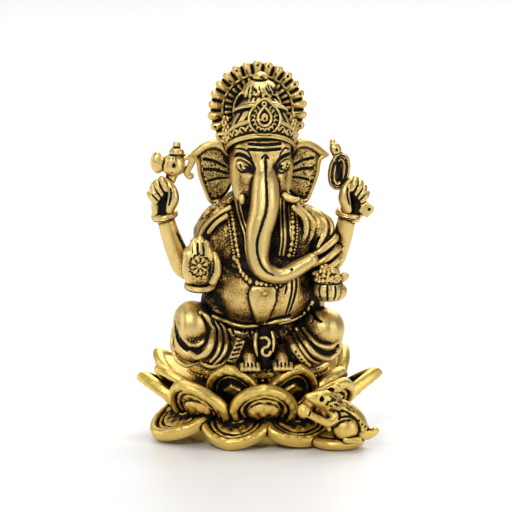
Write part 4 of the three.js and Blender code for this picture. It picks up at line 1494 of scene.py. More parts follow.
def carve_eye(clay, x, z, slant, side, lid, brow, lower):
    """A slanting eyeball in its socket, with black lids, brow, half a ring for the iris and a pupil."""
    clay.cut(blob((x, -12.4, z + 0.3), (3.4, 2.0, 2.5), (0, slant, 0)), blend=0.8)
    y = float(clay.front(x, z))
    clay.add(blob((x, y + 0.5, z - 0.1), (2.6, 1.2, 1.6), (0, slant, 0)), blend=0.15)
    clay.cut(line(clay, lid, 0.68, lift=0.1, taper=0.5), blend=0.2, ink=True)
    clay.cut(line(clay, brow, 0.27, lift=0.05, taper=0.6), blend=0.1, ink=True)
    clay.cut(line(clay, lower, 0.27, lift=0.05, taper=0.4), blend=0.1, ink=True)
    iris = [polar((x, z - 0.25), 0.95, a) for a in np.linspace(2.6, 6.4, 9)]
    clay.cut(line(clay, iris, 0.2, lift=0.02), ink=True)
    slit = [(x - side * 0.2, z + 0.1), (x - side * 1.8, z - 0.75)]
    clay.cut(line(clay, slit, 0.26, lift=0.02, taper=0.4), ink=True)
    pupil = (x + side * 1.2, float(clay.front(x + side * 1.2, z + 0.5)), z + 0.5)
    clay.cut(blob(pupil, 0.3), ink=True)


def head_shell():
    """The face: broad forehead, slanting eyes, hollows beside the trunk and the two cheeks."""
    clay = clay_of("head_shell", FINE, 3.0)
    clay.add(blob((0.4, -2.6, 86.0), (9.5, 9.3, 11.6)))
    clay.add(blob((0.8, -7.4, 90.2), (8.4, 4.4, 6.4)), blend=1.6)
    clay.add(Limb([[-5.6, -6.4, 84, 3.6], [-5.6, -7.6, 79, 3.2], [-5.9, -8.4, 75.8, 2.2]]), blend=1.5)
    clay.add(Limb([[7.0, -6.2, 84, 3.1], [6.8, -7.6, 79.4, 2.6], [6.8, -8.4, 76.6, 1.8]]), blend=1.5)
    clay.add(
        Limb(
            [
                [1.0, -8.4, 89.0, 3.3],
                [1.0, -9.6, 86.0, 3.2],
                [1.0, -11.0, 82.4, 3.6],
                [1.1, -12.4, 79, 3.9],
                [1.0, -13.2, 75.6, 3.9],
            ]
        ),
        blend=1.7,
    )
    clay.add(blob((-3.0, -9.4, 80.5), (3.0, 2.9, 6.0)), blob((4.9, -9.2, 80.5), (2.6, 2.8, 5.6)), blend=1.2)
    # black ink in the hollows beside the trunk: partly patina, partly painted shade
    clay.cut(
        Limb([[-3.2, -12.4, 78.4, 0.3], [-3.3, -12.6, 76.4, 0.55], [-3.7, -12.2, 73.8, 0.9]]),
        blend=0.4,
        ink=True,
    )
    clay.cut(
        Limb([[5.6, -12.2, 78.0, 0.3], [5.7, -12.4, 76.4, 0.5], [5.6, -12.2, 74.4, 0.8]]),
        blend=0.4,
        ink=True,
    )
    for eye in EYES:
        carve_eye(clay, **eye)
    clay.cut(
        line(
            clay,
            [(-4.6, 92.7), (-2.4, 93.3), (1.0, 93.1), (4.0, 93.3), (6.0, 92.9)],
            0.24,
            lift=0.05,
            taper=0.4,
        ),
        ink=True,
    )
    for z in (91.8, 90.2):
        clay.cut(
            line(
                clay,
                [(-3.8, z), (-1.4, z - 0.1), (1.0, z - 0.15), (3.4, z - 0.1), (5.9, z)],
                0.48,
                lift=0.1,
            ),
            blend=0.05,
            ink=True,
        )
    clay.cut(line(clay, [(0.0, 87.5), (1.1, 88.7), (2.2, 87.5)], 0.27, lift=0.05, taper=0.3), ink=True)
    clay.cut(line(clay, TRUNK_LINE[:2], 0.45, lift=0.05, taper=0.3), blend=0.1, ink=True)
    return clay


TUSKS = {
    "right_tusk": [[-5.5, -8.8, 77.0, 1.4], [-5.6, -10.2, 75.2, 1.2], [-5.7, -10.9, 74.0, 0.8]],
    "left_tusk": [
        [6.4, -9.6, 76.2, 1.3],
        [8.2, -10.8, 75.0, 1.15],
        [10.2, -11.4, 74.6, 0.9],
        [11.2, -11.4, 74.9, 0.55],
    ],
}


def tusk(node):
    """A tusk; the figure's right one is short, as a broken one."""
    clay = clay_of(node, FINE, 1.6)
    clay.add(Limb(TUSKS[node]))
    return clay


EAR_OUTLINE = [  # (x, z) points round the figure's left ear
    (21.0, 86.6),
    (18.9, 88.9),
    (16.4, 90.3),
    (13.8, 90.9),
    (11.0, 90.0),
    (8.6, 87.0),
    (8.0, 81.0),
    (8.6, 76.5),
    (11.4, 72.8),
    (14.2, 71.8),
    (16.0, 75.0),
    (17.6, 79.4),
    (18.4, 84.2),
    (19.2, 85.8),
]
# rows of x, z, y, radius: the rolled rim on top and down the side, and the groove inside it
EAR_TOP = [
    (9.0, 87.2, -0.6, 1.0),
    (11.2, 89.6, -0.5, 1.25),
    (13.8, 90.3, -0.4, 1.3),
    (16.6, 89.4, -0.3, 1.2),
    (19.0, 87.6, -0.1, 1.1),
    (20.9, 86.4, 0.2, 0.7),
]
EAR_SIDE = [
    (20.4, 86.5, 0.1, 0.8),
    (18.6, 84.8, 0.0, 0.75),
    (17.9, 80.5, -0.1, 0.62),
    (16.4, 76.2, -0.1, 0.6),
    (14.6, 72.5, 0, 0.65),
    (12.0, 72.9, 0, 0.5),
]
EAR_GROOVE = [
    (9.8, 86.6, -0.5, 0.3),
    (11.8, 88.4, -0.5, 0.4),
    (14.2, 88.8, -0.5, 0.45),
    (16.8, 87.6, -0.4, 0.4),
    (18.4, 86.0, -0.3, 0.3),
]


def ear(side):
    """A fan-shaped ear with a rolled rim, hatched skin and grooves that run out from the head."""
    node = "left_ear" if side > 0 else "right_ear"
    clay = clay_of(node, FINE, 2.4)

    def at(x, z, y=0.6):
        return (side * x, y, z)

    outline = curve(EAR_OUTLINE, closed=True) * (side, 1)

    def plate(x, y, z):
        flat = polygon_distance(outline, x[:, 0, :], z[:, 0, :])[:, None, :]
        rise = y - 0.9 + 0.05 * (np.abs(x) - 14)
        d = np.maximum(flat, np.abs(rise) - 0.75)
        return np.broadcast_to(d, np.broadcast_shapes(x.shape, y.shape, z.shape))

    def bar(rows):
        return Limb([[*at(x, z, y), radius] for x, z, y, radius in rows])

    clay.add(clay.everywhere(plate))
    clay.add(bar(EAR_TOP), blend=0.25)
    clay.add(bar(EAR_SIDE), blend=0.25)
    clay.cut(bar(EAR_GROOVE), blend=0.1, ink=True)
    veins = (
        ([(16.6, 85.6), (13.6, 84.9), (10.0, 83.1)], 0.5),
        ([(16.4, 82.4), (13.2, 82.2), (9.3, 81.0)], 0.5),
        ([(15.2, 78.9), (12.2, 79.6), (9.0, 79.7)], 0.42),
        ([(11.4, 73.6), (9.8, 75.2), (8.5, 77.6)], 0.55),
    )
    for path, radius in veins:
        clay.cut(Limb([[*at(x, z, 0.0), radius] for x, z in path]), blend=0.15, ink=True)
    for x, z in ((16.2, 78.3), (14.7, 74.8), (12.4, 73.2)):
        clay.cut(blob(at(x, z, 0.1), 0.42), ink=True)
    rng = np.random.default_rng(5)
    for _ in range(260):  # fine hatching across the skin
        x, z = 9.4 + 8.6 * rng.uniform(), 73.0 + 14.4 * rng.uniform()
        slope = 0.35 + 0.08 * (z - 78) + 0.3 * rng.uniform()
        clay.cut(Limb([[*at(x, z, 0.14), 0.13], [*at(x + 0.8, z + 0.9 * slope, 0.14), 0.16]], steps=0))
    for k in range(4):  # ribs on the back
        clay.cut(
            Limb([[*at(9.0, 82 - 1.5 * k, 1.8), 0.4], [*at(16.4, 86.5 - 3.6 * k, 1.3), 0.25]]), blend=0.3
        )
    return clay


# ---------------------------------------------------------------- crown and halo

HALO_RAYS, HALO_STUDS = 26, 32


def halo():
    """The sunburst disc: rounded rays, a thin ring, radial studs on a black ground and an inner ring."""
    clay = clay_of("halo", FINE, 1.6)
    x0, z0 = 0.0, 99.8
    front = 5.0
    flat = (90, 0, 0)
    clay.add(turned([(14.0, -0.9), (14.3, -0.5), (14.3, 0.4), (14.0, 0.8)], (x0, 6.1, z0), turn=flat))
    clay.blacken(
        ring((x0, front + 0.6, z0), 12.9, 1.4, flat, 0.5), ring((x0, front + 0.6, z0), 8.0, 2.6, flat, 0.3)
    )
    rng = np.random.default_rng(4)
    for a in around(HALO_RAYS, math.pi / 2):
        c, s = math.cos(a), math.sin(a)
        size = 1.24 + 0.1 * rng.uniform(-1, 1)
        ray = [
            [x0 + r * c, y, z0 + r * s, t]
            for r, y, t in ((11.4, 5.2, 0.95), (12.6, 4.9, 1.1), (13.4, 5.0, 1.15))
        ]
        clay.add(Limb(ray, steps=0), blend=0.05)
        clay.add(blob((x0 + 13.9 * c, 5.2, z0 + 13.9 * s), (size + 0.16, size, size + 0.16)), blend=0.1)
        if rng.uniform() < 0.6:
            clay.cut(blob((x0 + 13.9 * c, front - 1.1, z0 + 13.9 * s), 0.36), ink=True)
        if rng.uniform() < 0.5:
            lean = 0.35 / 12
            scratch = []
            for r, y in ((11.8, 4.1), (13.0, 3.7)):
                x, z = polar((x0, z0), r, a + lean)
                scratch.append([x, y, z, 0.2])
            clay.cut(Limb(scratch, steps=0), ink=True)
    clay.add(ring((x0, front - 0.1, z0), 10.75, 0.34, flat), blend=0.05)
    for a in around(HALO_STUDS, 0.07):
        c, s = math.cos(a), math.sin(a)
        start, end = 8.3 + 0.3 * rng.uniform(-1, 1), 9.7 + 0.25 * rng.uniform(-1, 1)
        stud = [[x0 + start * c, front, z0 + start * s, 0.32], [x0 + end * c, front, z0 + end * s, 0.5]]
        clay.add(Limb(stud, steps=0), blend=0.03)
    clay.add(ring((x0, front - 0.1, z0), 7.3, 0.4, flat), blend=0.05)
    clay.add(ring((x0, 7.1, z0), 11.4, 0.5, flat), ring((x0, 7.1, z0), 8.0, 0.4, flat), blend=0.3)
    return clay


CROWN = (0.3, -2.5)


def raked(shape, slope):
    """A crown part whose level lines climb towards the front: slope is the climb per mm."""
    low, high, distance = shape
    reach = np.array((0, 0, 11 * slope))

    def climbing(x, y, z):
        return distance(x, y, z + slope * (y - CROWN[1]))

    return np.array(low) - reach, np.array(high) + reach, climbing


def crown():
    """The crown: a dome of leaf panels, a thin eave, an umbrella cap with leaf texture, and a knob."""
    clay = clay_of("crown", FINE, 1.6)
    x, y = CROWN
    dome = [(9.0, 90.0), (9.1, 95.0), (8.7, 97.5), (7.8, 99.6), (6.4, 101.2), (3.8, 103.0)]
    eave = [
        (6.6, 100.4),
        (8.3, 100.1),
        (8.5, 100.6),
        (8.0, 101.2),
        (7.0, 101.9),
        (5.9, 103.0),
        (4.9, 104.2),
        (3.6, 105.0),
    ]
    cap = [(3.2, 104.9), (4.7, 105.6), (5.4, 106.2), (5.4, 107.0), (4.8, 108.4), (3.5, 109.6), (1.9, 110.3)]
    knob = [(1.3, 110.2), (2.25, 110.5), (2.4, 111.2), (1.7, 112.1), (0.5, 112.7)]
    clay.add(raked(turned(dome, (x, y, 0)), 0.3), raked(turned(eave, (x, y, 0)), 0.36), blend=0.1)
    clay.add(turned(cap, (x, y, 0)), turned(knob, (x, y, 0)), blend=0.1)
    for a in around(15, 0.1):
        swirl = 0.34 if math.cos(a) < 0 else -0.34
        path = [(9.4, 91.5, 0), (9.4, 95.4, 0.5), (8.9, 97.9, 1), (7.8, 99.8, 1.2)]
        points = []
        for r, z, t in path:
            b = a + swirl * t
            points.append((x + r * math.cos(b), y + r * math.sin(b), z - 0.3 * r * math.sin(b)))
        clay.cut(thread(points, 0.66), blend=0.1, ink=True)
    clay.cut(
        raked(ring((x, y, 99.7), 7.9, 0.45), 0.36),
        raked(ring((x, y, 101.5), 7.6, 0.22), 0.36),
        blend=0.1,
        ink=True,
    )
    clay.cut(ring((x, y, 104.8), 4.6, 0.75), ink=True)
    for a in around(11, 0.3):
        clay.add(blob((*polar(CROWN, 4.4, a), 104.6), (0.85, 0.85, 0.6)), blend=0.1)
    rng = np.random.default_rng(2)
    for even in around(30):  # leaf tips between the eave and the cap
        a = even + 0.1 * rng.uniform(-1, 1)
        r, z = 6.3, 102.6 - 0.36 * 6.3 * math.sin(a)
        rows = [[*polar(CROWN, r, a), z, 0.32], [*polar(CROWN, 5.1, a), z + 1.3, 0.22]]
        clay.cut(Limb(rows, steps=0), blend=0.05, ink=True)
    for _ in range(70):  # short leafy cuts around the middle of the cap
        a, t = rng.uniform(0, 2 * math.pi), rng.uniform(0, 0.5)
        r, z = 5.5 - 2.6 * t**1.6, 106.2 + 3.3 * t
        dr, dz, turn = rng.uniform(-0.5, 0.0), rng.uniform(0.7, 1.5), rng.uniform(-0.06, 0.06)
        rows = [[*polar(CROWN, r, a), z, 0.28], [*polar(CROWN, r + dr, a + turn), z + dz, 0.2]]
        clay.cut(Limb(rows, steps=0), blend=0.05, ink=True)
    for a in around(16, 0.1):
        r = 5.1 + 0.25 * rng.uniform(-1, 1)
        at = (*polar(CROWN, r, a), 106.0 + 0.4 * rng.uniform(-1, 1))
        clay.add(blob(at, rng.uniform(0.55, 0.85)), blend=0.15)
    clay.cut(
        ring((x, y, 110.3), 2.2, 0.3),
        Limb([[x - 0.2, y - 2.6, 111.5, 0.35], [x + 1.0, y - 2.4, 111.1, 0.45]]),
        ink=True,
    )
    return clay


BAND_SLOPE = 0.54


def band_height(y):
    """The height of the crown band's lower edge at depth y: it climbs towards the forehead."""
    return 88.9 - BAND_SLOPE * (y + 3.0)


def crown_band():
    """The band over the forehead: two raised edges with scrolls between them, taller towards the plaque."""
    clay = clay_of("crown_band", FINE, 1.8)
    x0, y0 = CROWN

    def tall(y):
        return 4.0 + 0.13 * np.clip(-3 - y, -2, 12)

    def shell(x, y, z):
        wide = np.hypot(x - x0, y - y0)
        low = z - band_height(y)
        body = np.maximum(np.abs(wide - 9.5) - 1.0, np.abs(low - tall(y) / 2) - tall(y) / 2)
        return body * 0.85

    clay.add(clay.everywhere(shell))

    def on(r, a, up):
        y = y0 + r * math.sin(a)
        return np.array((x0 + r * math.cos(a), y, band_height(y) + up * float(tall(y))))

    def rim(r, up):
        return [on(r, a, up) for a in around(72, -math.pi / 2)]

    clay.blacken(*[thread(rim(10.15, up), 0.5, steps=1, closed=True) for up in (0.24, 0.4, 0.6, 0.78)])
    clay.add(
        thread(rim(10.35, 0.02), 0.45, steps=1, closed=True),
        thread(rim(10.5, 0.16), 0.3, steps=1, closed=True),
        blend=0.05,
    )
    clay.add(thread(rim(10.35, 0.99), 0.5, steps=1, closed=True), blend=0.05)
    for i, a in enumerate(around(26, -math.pi / 2 + 0.12)):
        face = (90, 0, math.degrees(a) + 90)
        curl = ring(on(10.7, a, 0.54), 0.72, 0.34, face)
        clay.add(curl, blend=0.03)
        clay.cut(
            blob(on(10.9, a + 0.05 * (1 if i % 2 else -1), 0.42), 0.4),
            blob(on(10.9, a, 0.56), 0.36),
            ink=True,
        )
        clay.add(blob(on(10.7, a + math.pi / 26, 0.5), (0.3, 0.4, 0.75)), blend=0.03)
    for side in (-1, 1):  # clusters of curls beside the band, over the ears
        for k in range(7):
            at = np.array((x0 + side * (10.0 + 0.55 * (k % 2)), -3.0 + 0.9 * k, 90.4 + 1.15 * k))
            clay.add(
                ring(at, 0.85, 0.42, (90, 0, 60 * side)), blob(at + (side * 0.5, -0.5, 0.9), 0.5), blend=0.1
            )
            clay.cut(blob(at + (side * 0.3, -0.8, 0), 0.4), ink=True)
    return clay


def crown_plaque():
    """The drop-shaped plaque: a raised rim, a ring of curls on black, and a small drop within a drop."""
    clay = clay_of("crown_plaque", FINE, 3.0)
    x0, z0, lean = 0.9, 99.9, 0.30

    def depth(z):
        return -13.2 + lean * np.clip(z - 98.5, -2, None)

    def outline(radius, tip, count=30):
        points = []
        for t in np.linspace(-math.pi, math.pi, count, endpoint=False):
            pull = max(0.0, -math.cos(t)) ** 3
            points.append(
                (
                    x0 + radius * math.sin(t) * (1 - 0.45 * pull),
                    z0 - radius * math.cos(t) + (tip - radius) * pull,
                )
            )
        return points

    def lay(points, lift, radius):
        return thread([(px, depth(pz) - lift, pz) for px, pz in points], radius, steps=2, closed=True)

    edge = np.array(outline(4.95, 5.9))

    def plate(x, y, z):
        flat = polygon_distance(edge, x[:, 0, :], z[:, 0, :])[:, None, :]
        return np.maximum(flat, np.abs(y - depth(z) - 0.6) - 0.6) * 0.95

    clay.add(clay.everywhere(plate))
    clay.blacken(block((x0, depth(z0) + 0.95, z0 + 0.4), (4.5, 1.0, 5.4), (-16.7, 0, 0)))
    clay.add(lay(outline(4.75, 5.7), 0.15, 0.36), blend=0.05)
    for t in np.linspace(-2.45, 2.45, 14):
        r = 3.45 + 0.35 * max(0, abs(t) - 1.6)
        at = np.array((x0 + r * math.sin(t) * (1 - 0.1 * (abs(t) > 2)), 0, z0 - 0.1 - r * math.cos(t)))
        at[1] = depth(at[2]) - 0.15
        clay.add(ring(at, 0.5, 0.26, (90, 0, 0)), blend=0.03)
        clay.cut(blob(at + (0.35 * math.sin(t), -0.1, -0.35 * math.cos(t)), 0.3), ink=True)
    inner = [((px - x0) * 0.44 + x0, (pz - z0) * 0.5 + z0 + 0.1) for px, pz in outline(4.6, 6.4)]
    clay.add(lay(inner, 0.3, 0.42), blend=0.05)
    clay.add(blob((x0, depth(z0) - 0.1, z0 + 0.1), (1.15, 0.7, 1.45)), blend=0.03)
    clay.cut(blob((x0, depth(z0) - 0.8, z0 - 0.1), (0.28, 0.4, 0.45)), ink=True)
    clay.add(ring((x0, depth(z0 + 4.2) - 0.2, z0 + 4.2), 0.6, 0.3, (90, 0, 0)), blend=0.03)
    return clay


# ---------------------------------------------------------------- building all pieces

MADE = {}
FIGURE, ORNAMENT, LOTUS, MOUSE = "figure_gold", "ornament_gold", "lotus_gold", "mouse_gold"


def piece_jobs():
    """(CAD node, material slot, share of faces kept, builder) for every piece but the torso."""
    jobs = [(node, LOTUS, 0.45, build) for node, build in lotus_petals()]
    jobs += [
        ("lotus_core", LOTUS, 0.3, lotus_core),
        ("mouse_plinth_petal", LOTUS, 0.45, mouse_plinth_petal),
        ("mouse", MOUSE, 0.6, mouse),
        ("waist_pleat", FIGURE, 0.7, waist_pleat),
        ("belly_pendant", ORNAMENT, 0.6, belly_pendant),
        ("necklace", ORNAMENT, 0.7, necklace),
        ("shawl", FIGURE, 0.5, shawl),
        ("rear_right_arm", FIGURE, 0.35, rear_right_arm),
        ("rear_left_arm", FIGURE, 0.35, rear_left_arm),
        ("front_right_arm", FIGURE, 0.35, front_right_arm),
        ("front_left_arm", FIGURE, 0.4, front_left_arm),
        ("rear_right_hand", FIGURE, 0.6, rear_right_hand),
        ("rear_left_hand", FIGURE, 0.6, rear_left_hand),
        ("front_right_hand", FIGURE, 0.7, front_right_hand),
        ("front_left_hand", FIGURE, 0.5, front_left_hand),
        *[(node, ORNAMENT, 0.5, partial(bangle, node)) for node in BANGLES],
        ("axe", ORNAMENT, 0.6, axe),
        ("noose", ORNAMENT, 0.6, noose),
        ("modak_bowl", ORNAMENT, 0.6, modak_bowl),
        ("right_leg", FIGURE, 0.4, right_leg),
        ("left_leg", FIGURE, 0.4, left_leg),
        *[(node, FIGURE, 0.5, partial(foot, node)) for node in FEET],
        ("head_shell", FIGURE, 0.5, head_shell),
        ("trunk", FIGURE, 0.4, trunk),
        *[(node, FIGURE, 0.5, partial(tusk, node)) for node in TUSKS],
        ("right_ear", FIGURE, 0.7, partial(ear, -1)),
        ("left_ear", FIGURE, 0.7, partial(ear, 1)),
        ("crown", ORNAMENT, 0.6, crown),
        ("crown_band", ORNAMENT, 0.7, crown_band),
        ("crown_plaque", ORNAMENT, 0.8, crown_plaque),
        ("halo", ORNAMENT, 0.6, halo),
    ]
    return jobs


def build_clays():
    """{node: (clay, slot, share)} with every clay sculpted, four at a time."""
    MADE["torso"] = torso()
    jobs = piece_jobs()
    with ThreadPoolExecutor(4) as pool:
        clays = list(pool.map(lambda job: job[3](), jobs))
    found = {"torso": (MADE["torso"], FIGURE, 0.35)}
    for (node, slot, share, _), clay in zip(jobs, clays):
        found[node] = (clay, slot, share)
    return found


# ---------------------------------------------------------------- where oxide stays and where shade is painted

CELL = 0.3  # mm: the grid on which shelter is worked out
MARGIN = 8  # mm of air kept around the casting on that grid
SCALES = (0.42, 1.0, 2.6)  # mm: how wide a neighbourhood each of the three shelter values looks at


def shelter_fields(clays):
    """The lowest corner of a grid over the casting, and how full of metal each cell's surroundings are."""
    low = np.array(cad_low) / MM - MARGIN
    high = np.array(cad_high) / MM + MARGIN
    count = np.ceil((high - low) / CELL).astype(int)
    solid = np.zeros(count, np.float32)
    for clay in clays:
        size = np.array(clay.field.shape) * clay.voxel
        corners = (clay.low + CORNERS * size) @ clay.turn.T + clay.at
        first = np.clip(np.floor((corners.min(0) - low) / CELL).astype(int), 0, None)
        last = np.minimum(np.ceil((corners.max(0) - low) / CELL).astype(int), count)
        axes = [low[k] + CELL * np.arange(first[k], last[k]) for k in range(3)]
        p = np.stack(np.meshgrid(*axes, indexing="ij"), -1).reshape(-1, 3)
        p = (p - clay.at) @ clay.turn
        cells = (p - clay.low) / clay.voxel
        known = ((cells >= 0) & (cells <= np.array(clay.field.shape) - 1)).all(1)
        d = np.full(len(p), FAR, np.float32)
        d[known] = sample_grid(clay.field, cells[known])
        filled = np.clip(0.5 - d / CELL, 0, 1).reshape([len(a) for a in axes])
        part = tuple(slice(a, b) for a, b in zip(first, last))
        solid[part] = np.maximum(solid[part], filled)
    spectrum = np.fft.rfftn(solid)
    waves = [np.fft.fftfreq(count[0], CELL), np.fft.fftfreq(count[1], CELL), np.fft.rfftfreq(count[2], CELL)]
    fields = []
    for sigma in SCALES:
        bells = [np.exp(-2 * (math.pi * sigma * f) ** 2) for f in waves]
        soft = spectrum * bells[0][:, None, None] * bells[1][None, :, None] * bells[2][None, None, :]
        fields.append(np.fft.irfftn(soft, s=tuple(count)).astype(np.float32))
    return low, fields


SHADE_AND_PATINA_ZONES = (  # zones of patina and of painted shade under and between parts: middle, reach along x, y and z, and how much darker
    ((-13, -6, 60), (6, 8, 10), 0.22),
    ((9, -9, 61), (8, 6, 10), 0.17),
    ((0, -6, 70), (14, 9, 5), 0.18),
    ((-15, -9, 45), (5, 7, 9), 0.17),
    ((-8, -14, 38), (8, 5, 3), 0.12),
    ((16, -9, 46), (6, 8, 9), 0.18),
    ((0, -13, 54), (16, 6, 3.4), 0.17),
    ((0, -15, 32), (11, 7, 5), 0.42),
    ((0, -20, 26), (12, 5, 3), 0.17),
    ((-17, -6, 44), (4, 6, 6), 0.17),
    ((-22, -14, 31), (4, 5, 3), 0.14),
    ((-14, 0, 80), (6, 6, 8), 0.275),
    ((-5.6, -11, 77), (3.4, 5, 4), 0.055),
    ((7, -11, 78), (3, 5, 4), 0.045),
    ((15, -14, 37), (4, 5, 3.4), 0.13),
    ((14, 0, 80), (6, 6, 8), 0.24),
    ((-26, -2, 60), (4, 4, 9), 0.06),
    ((26, -2, 60), (4, 4, 9), 0.05),
    ((0, 5, 100), (12, 4, 12), 0.06),
    ((0, 0, 105.4), (7, 8, 2.4), 0.15),
    ((-19, -16, 55), (5, 3, 9), 0.1),
    ((17, -6, 60), (8, 7, 8), 0.09),
    ((0, 0, 22), (26, 21, 4), 0.2),
    ((0, 0, 9), (30, 27, 3.5), 0.13),
    ((24, -28, 13), (5, 5, 5), 0.11),
    ((18, -29, 8), (4, 4, 3), 0.12),
    ((-10, -12, 27), (8, 6, 4), 0.08),
    ((12, -12, 27), (7, 6, 4), 0.08),
)


def tarnish(points):
    """How much darker each point is for lying in the placed zones of patina and painted shade under and between
    parts.
    """
    total = np.zeros(len(points), np.float32)
    for middle, reach, amount in SHADE_AND_PATINA_ZONES:
        away = ((points - middle) / reach) ** 2
        total += amount * np.exp(-away.sum(1) ** 1.5)
    return total


def dress(made, clay, low, fields):
    """Writes the shelter values, the ink and the amounts of patina and painted shade to the mesh, for the metal
    to read.
    """
    data = made.data
    points = np.empty(3 * len(data.vertices), np.float32)
    data.vertices.foreach_get("co", points)
    points = points.reshape(-1, 3) / MM
    shelter = np.stack([sample_grid(field, (points - low) / CELL) for field in fields], 1)
    data.attributes.new("shelter", "FLOAT_VECTOR", "POINT").data.foreach_set("vector", shelter.ravel())
    ink = np.ones(len(points), np.float32)
    if clay.ink is not None:
        ink = sample_grid(clay.ink, ((points - clay.at) @ clay.turn - clay.low) / clay.voxel)
    data.attributes.new("ink", "FLOAT", "POINT").data.foreach_set("value", ink.astype(np.float32))
    shade_and_patina_amount = tarnish(points).astype(np.float32)
    data.attributes.new("tarnish", "FLOAT", "POINT").data.foreach_set("value", shade_and_patina_amount)


# ---------------------------------------------------------------- metal


class Nodes:
    """Short calls for building a node material."""

    def __init__(self, name):
        self.material = bpy.data.materials.new(name)
        self.material.use_nodes = True
        self.tree = self.material.node_tree
        self.tree.nodes.clear()

    def node(self, kind, **inputs):
        made = self.tree.nodes.new(kind)
        for key, value in inputs.items():
            self.feed(made, key.replace("_", " "), value)
        return made

    def feed(self, node, key, value):
        socket = node.inputs[int(key)] if key.isdigit() else node.inputs[key]
        if isinstance(value, bpy.types.NodeSocket):
            self.tree.links.new(value, socket)
        else:
            socket.default_value = value

    def math(self, operation, *values, clamp=False):
        made = self.tree.nodes.new("ShaderNodeMath")
        made.operation = operation
        made.use_clamp = clamp
        for i, value in enumerate(values):
            self.feed(made, str(i), value)
        return made.outputs[0]

    def step(self, value, low, high, smooth=True):
        """0 below low, 1 above high."""
        made = self.tree.nodes.new("ShaderNodeMapRange")
        made.interpolation_type = "SMOOTHSTEP" if smooth else "LINEAR"
        self.feed(made, "Value", value)
        made.inputs["From Min"].default_value = low
        made.inputs["From Max"].default_value = high
        return made.outputs[0]

    def mix(self, share, a, b):
        made = self.tree.nodes.new("ShaderNodeMix")
        made.data_type = "RGBA"
        self.feed(made, "0", share)
        self.feed(made, "6", a)
        self.feed(made, "7", b)
        return made.outputs[2]

    def noise(self, vector, scale, detail=3.0, roughness=0.55):
        made = self.node("ShaderNodeTexNoise", Vector=vector, Scale=scale, Detail=detail, Roughness=roughness)
        return made.outputs["Fac"]


# brown: patina and painted shade round the dark zones; black: oxide in the recesses and painted shade in big
# hollows
BROWN_PATINA_AND_SHADE = (0.16, 0.078, 0.014, 1)
OXIDE_AND_SHADE_BLACK = (0.006, 0.005, 0.004, 1)


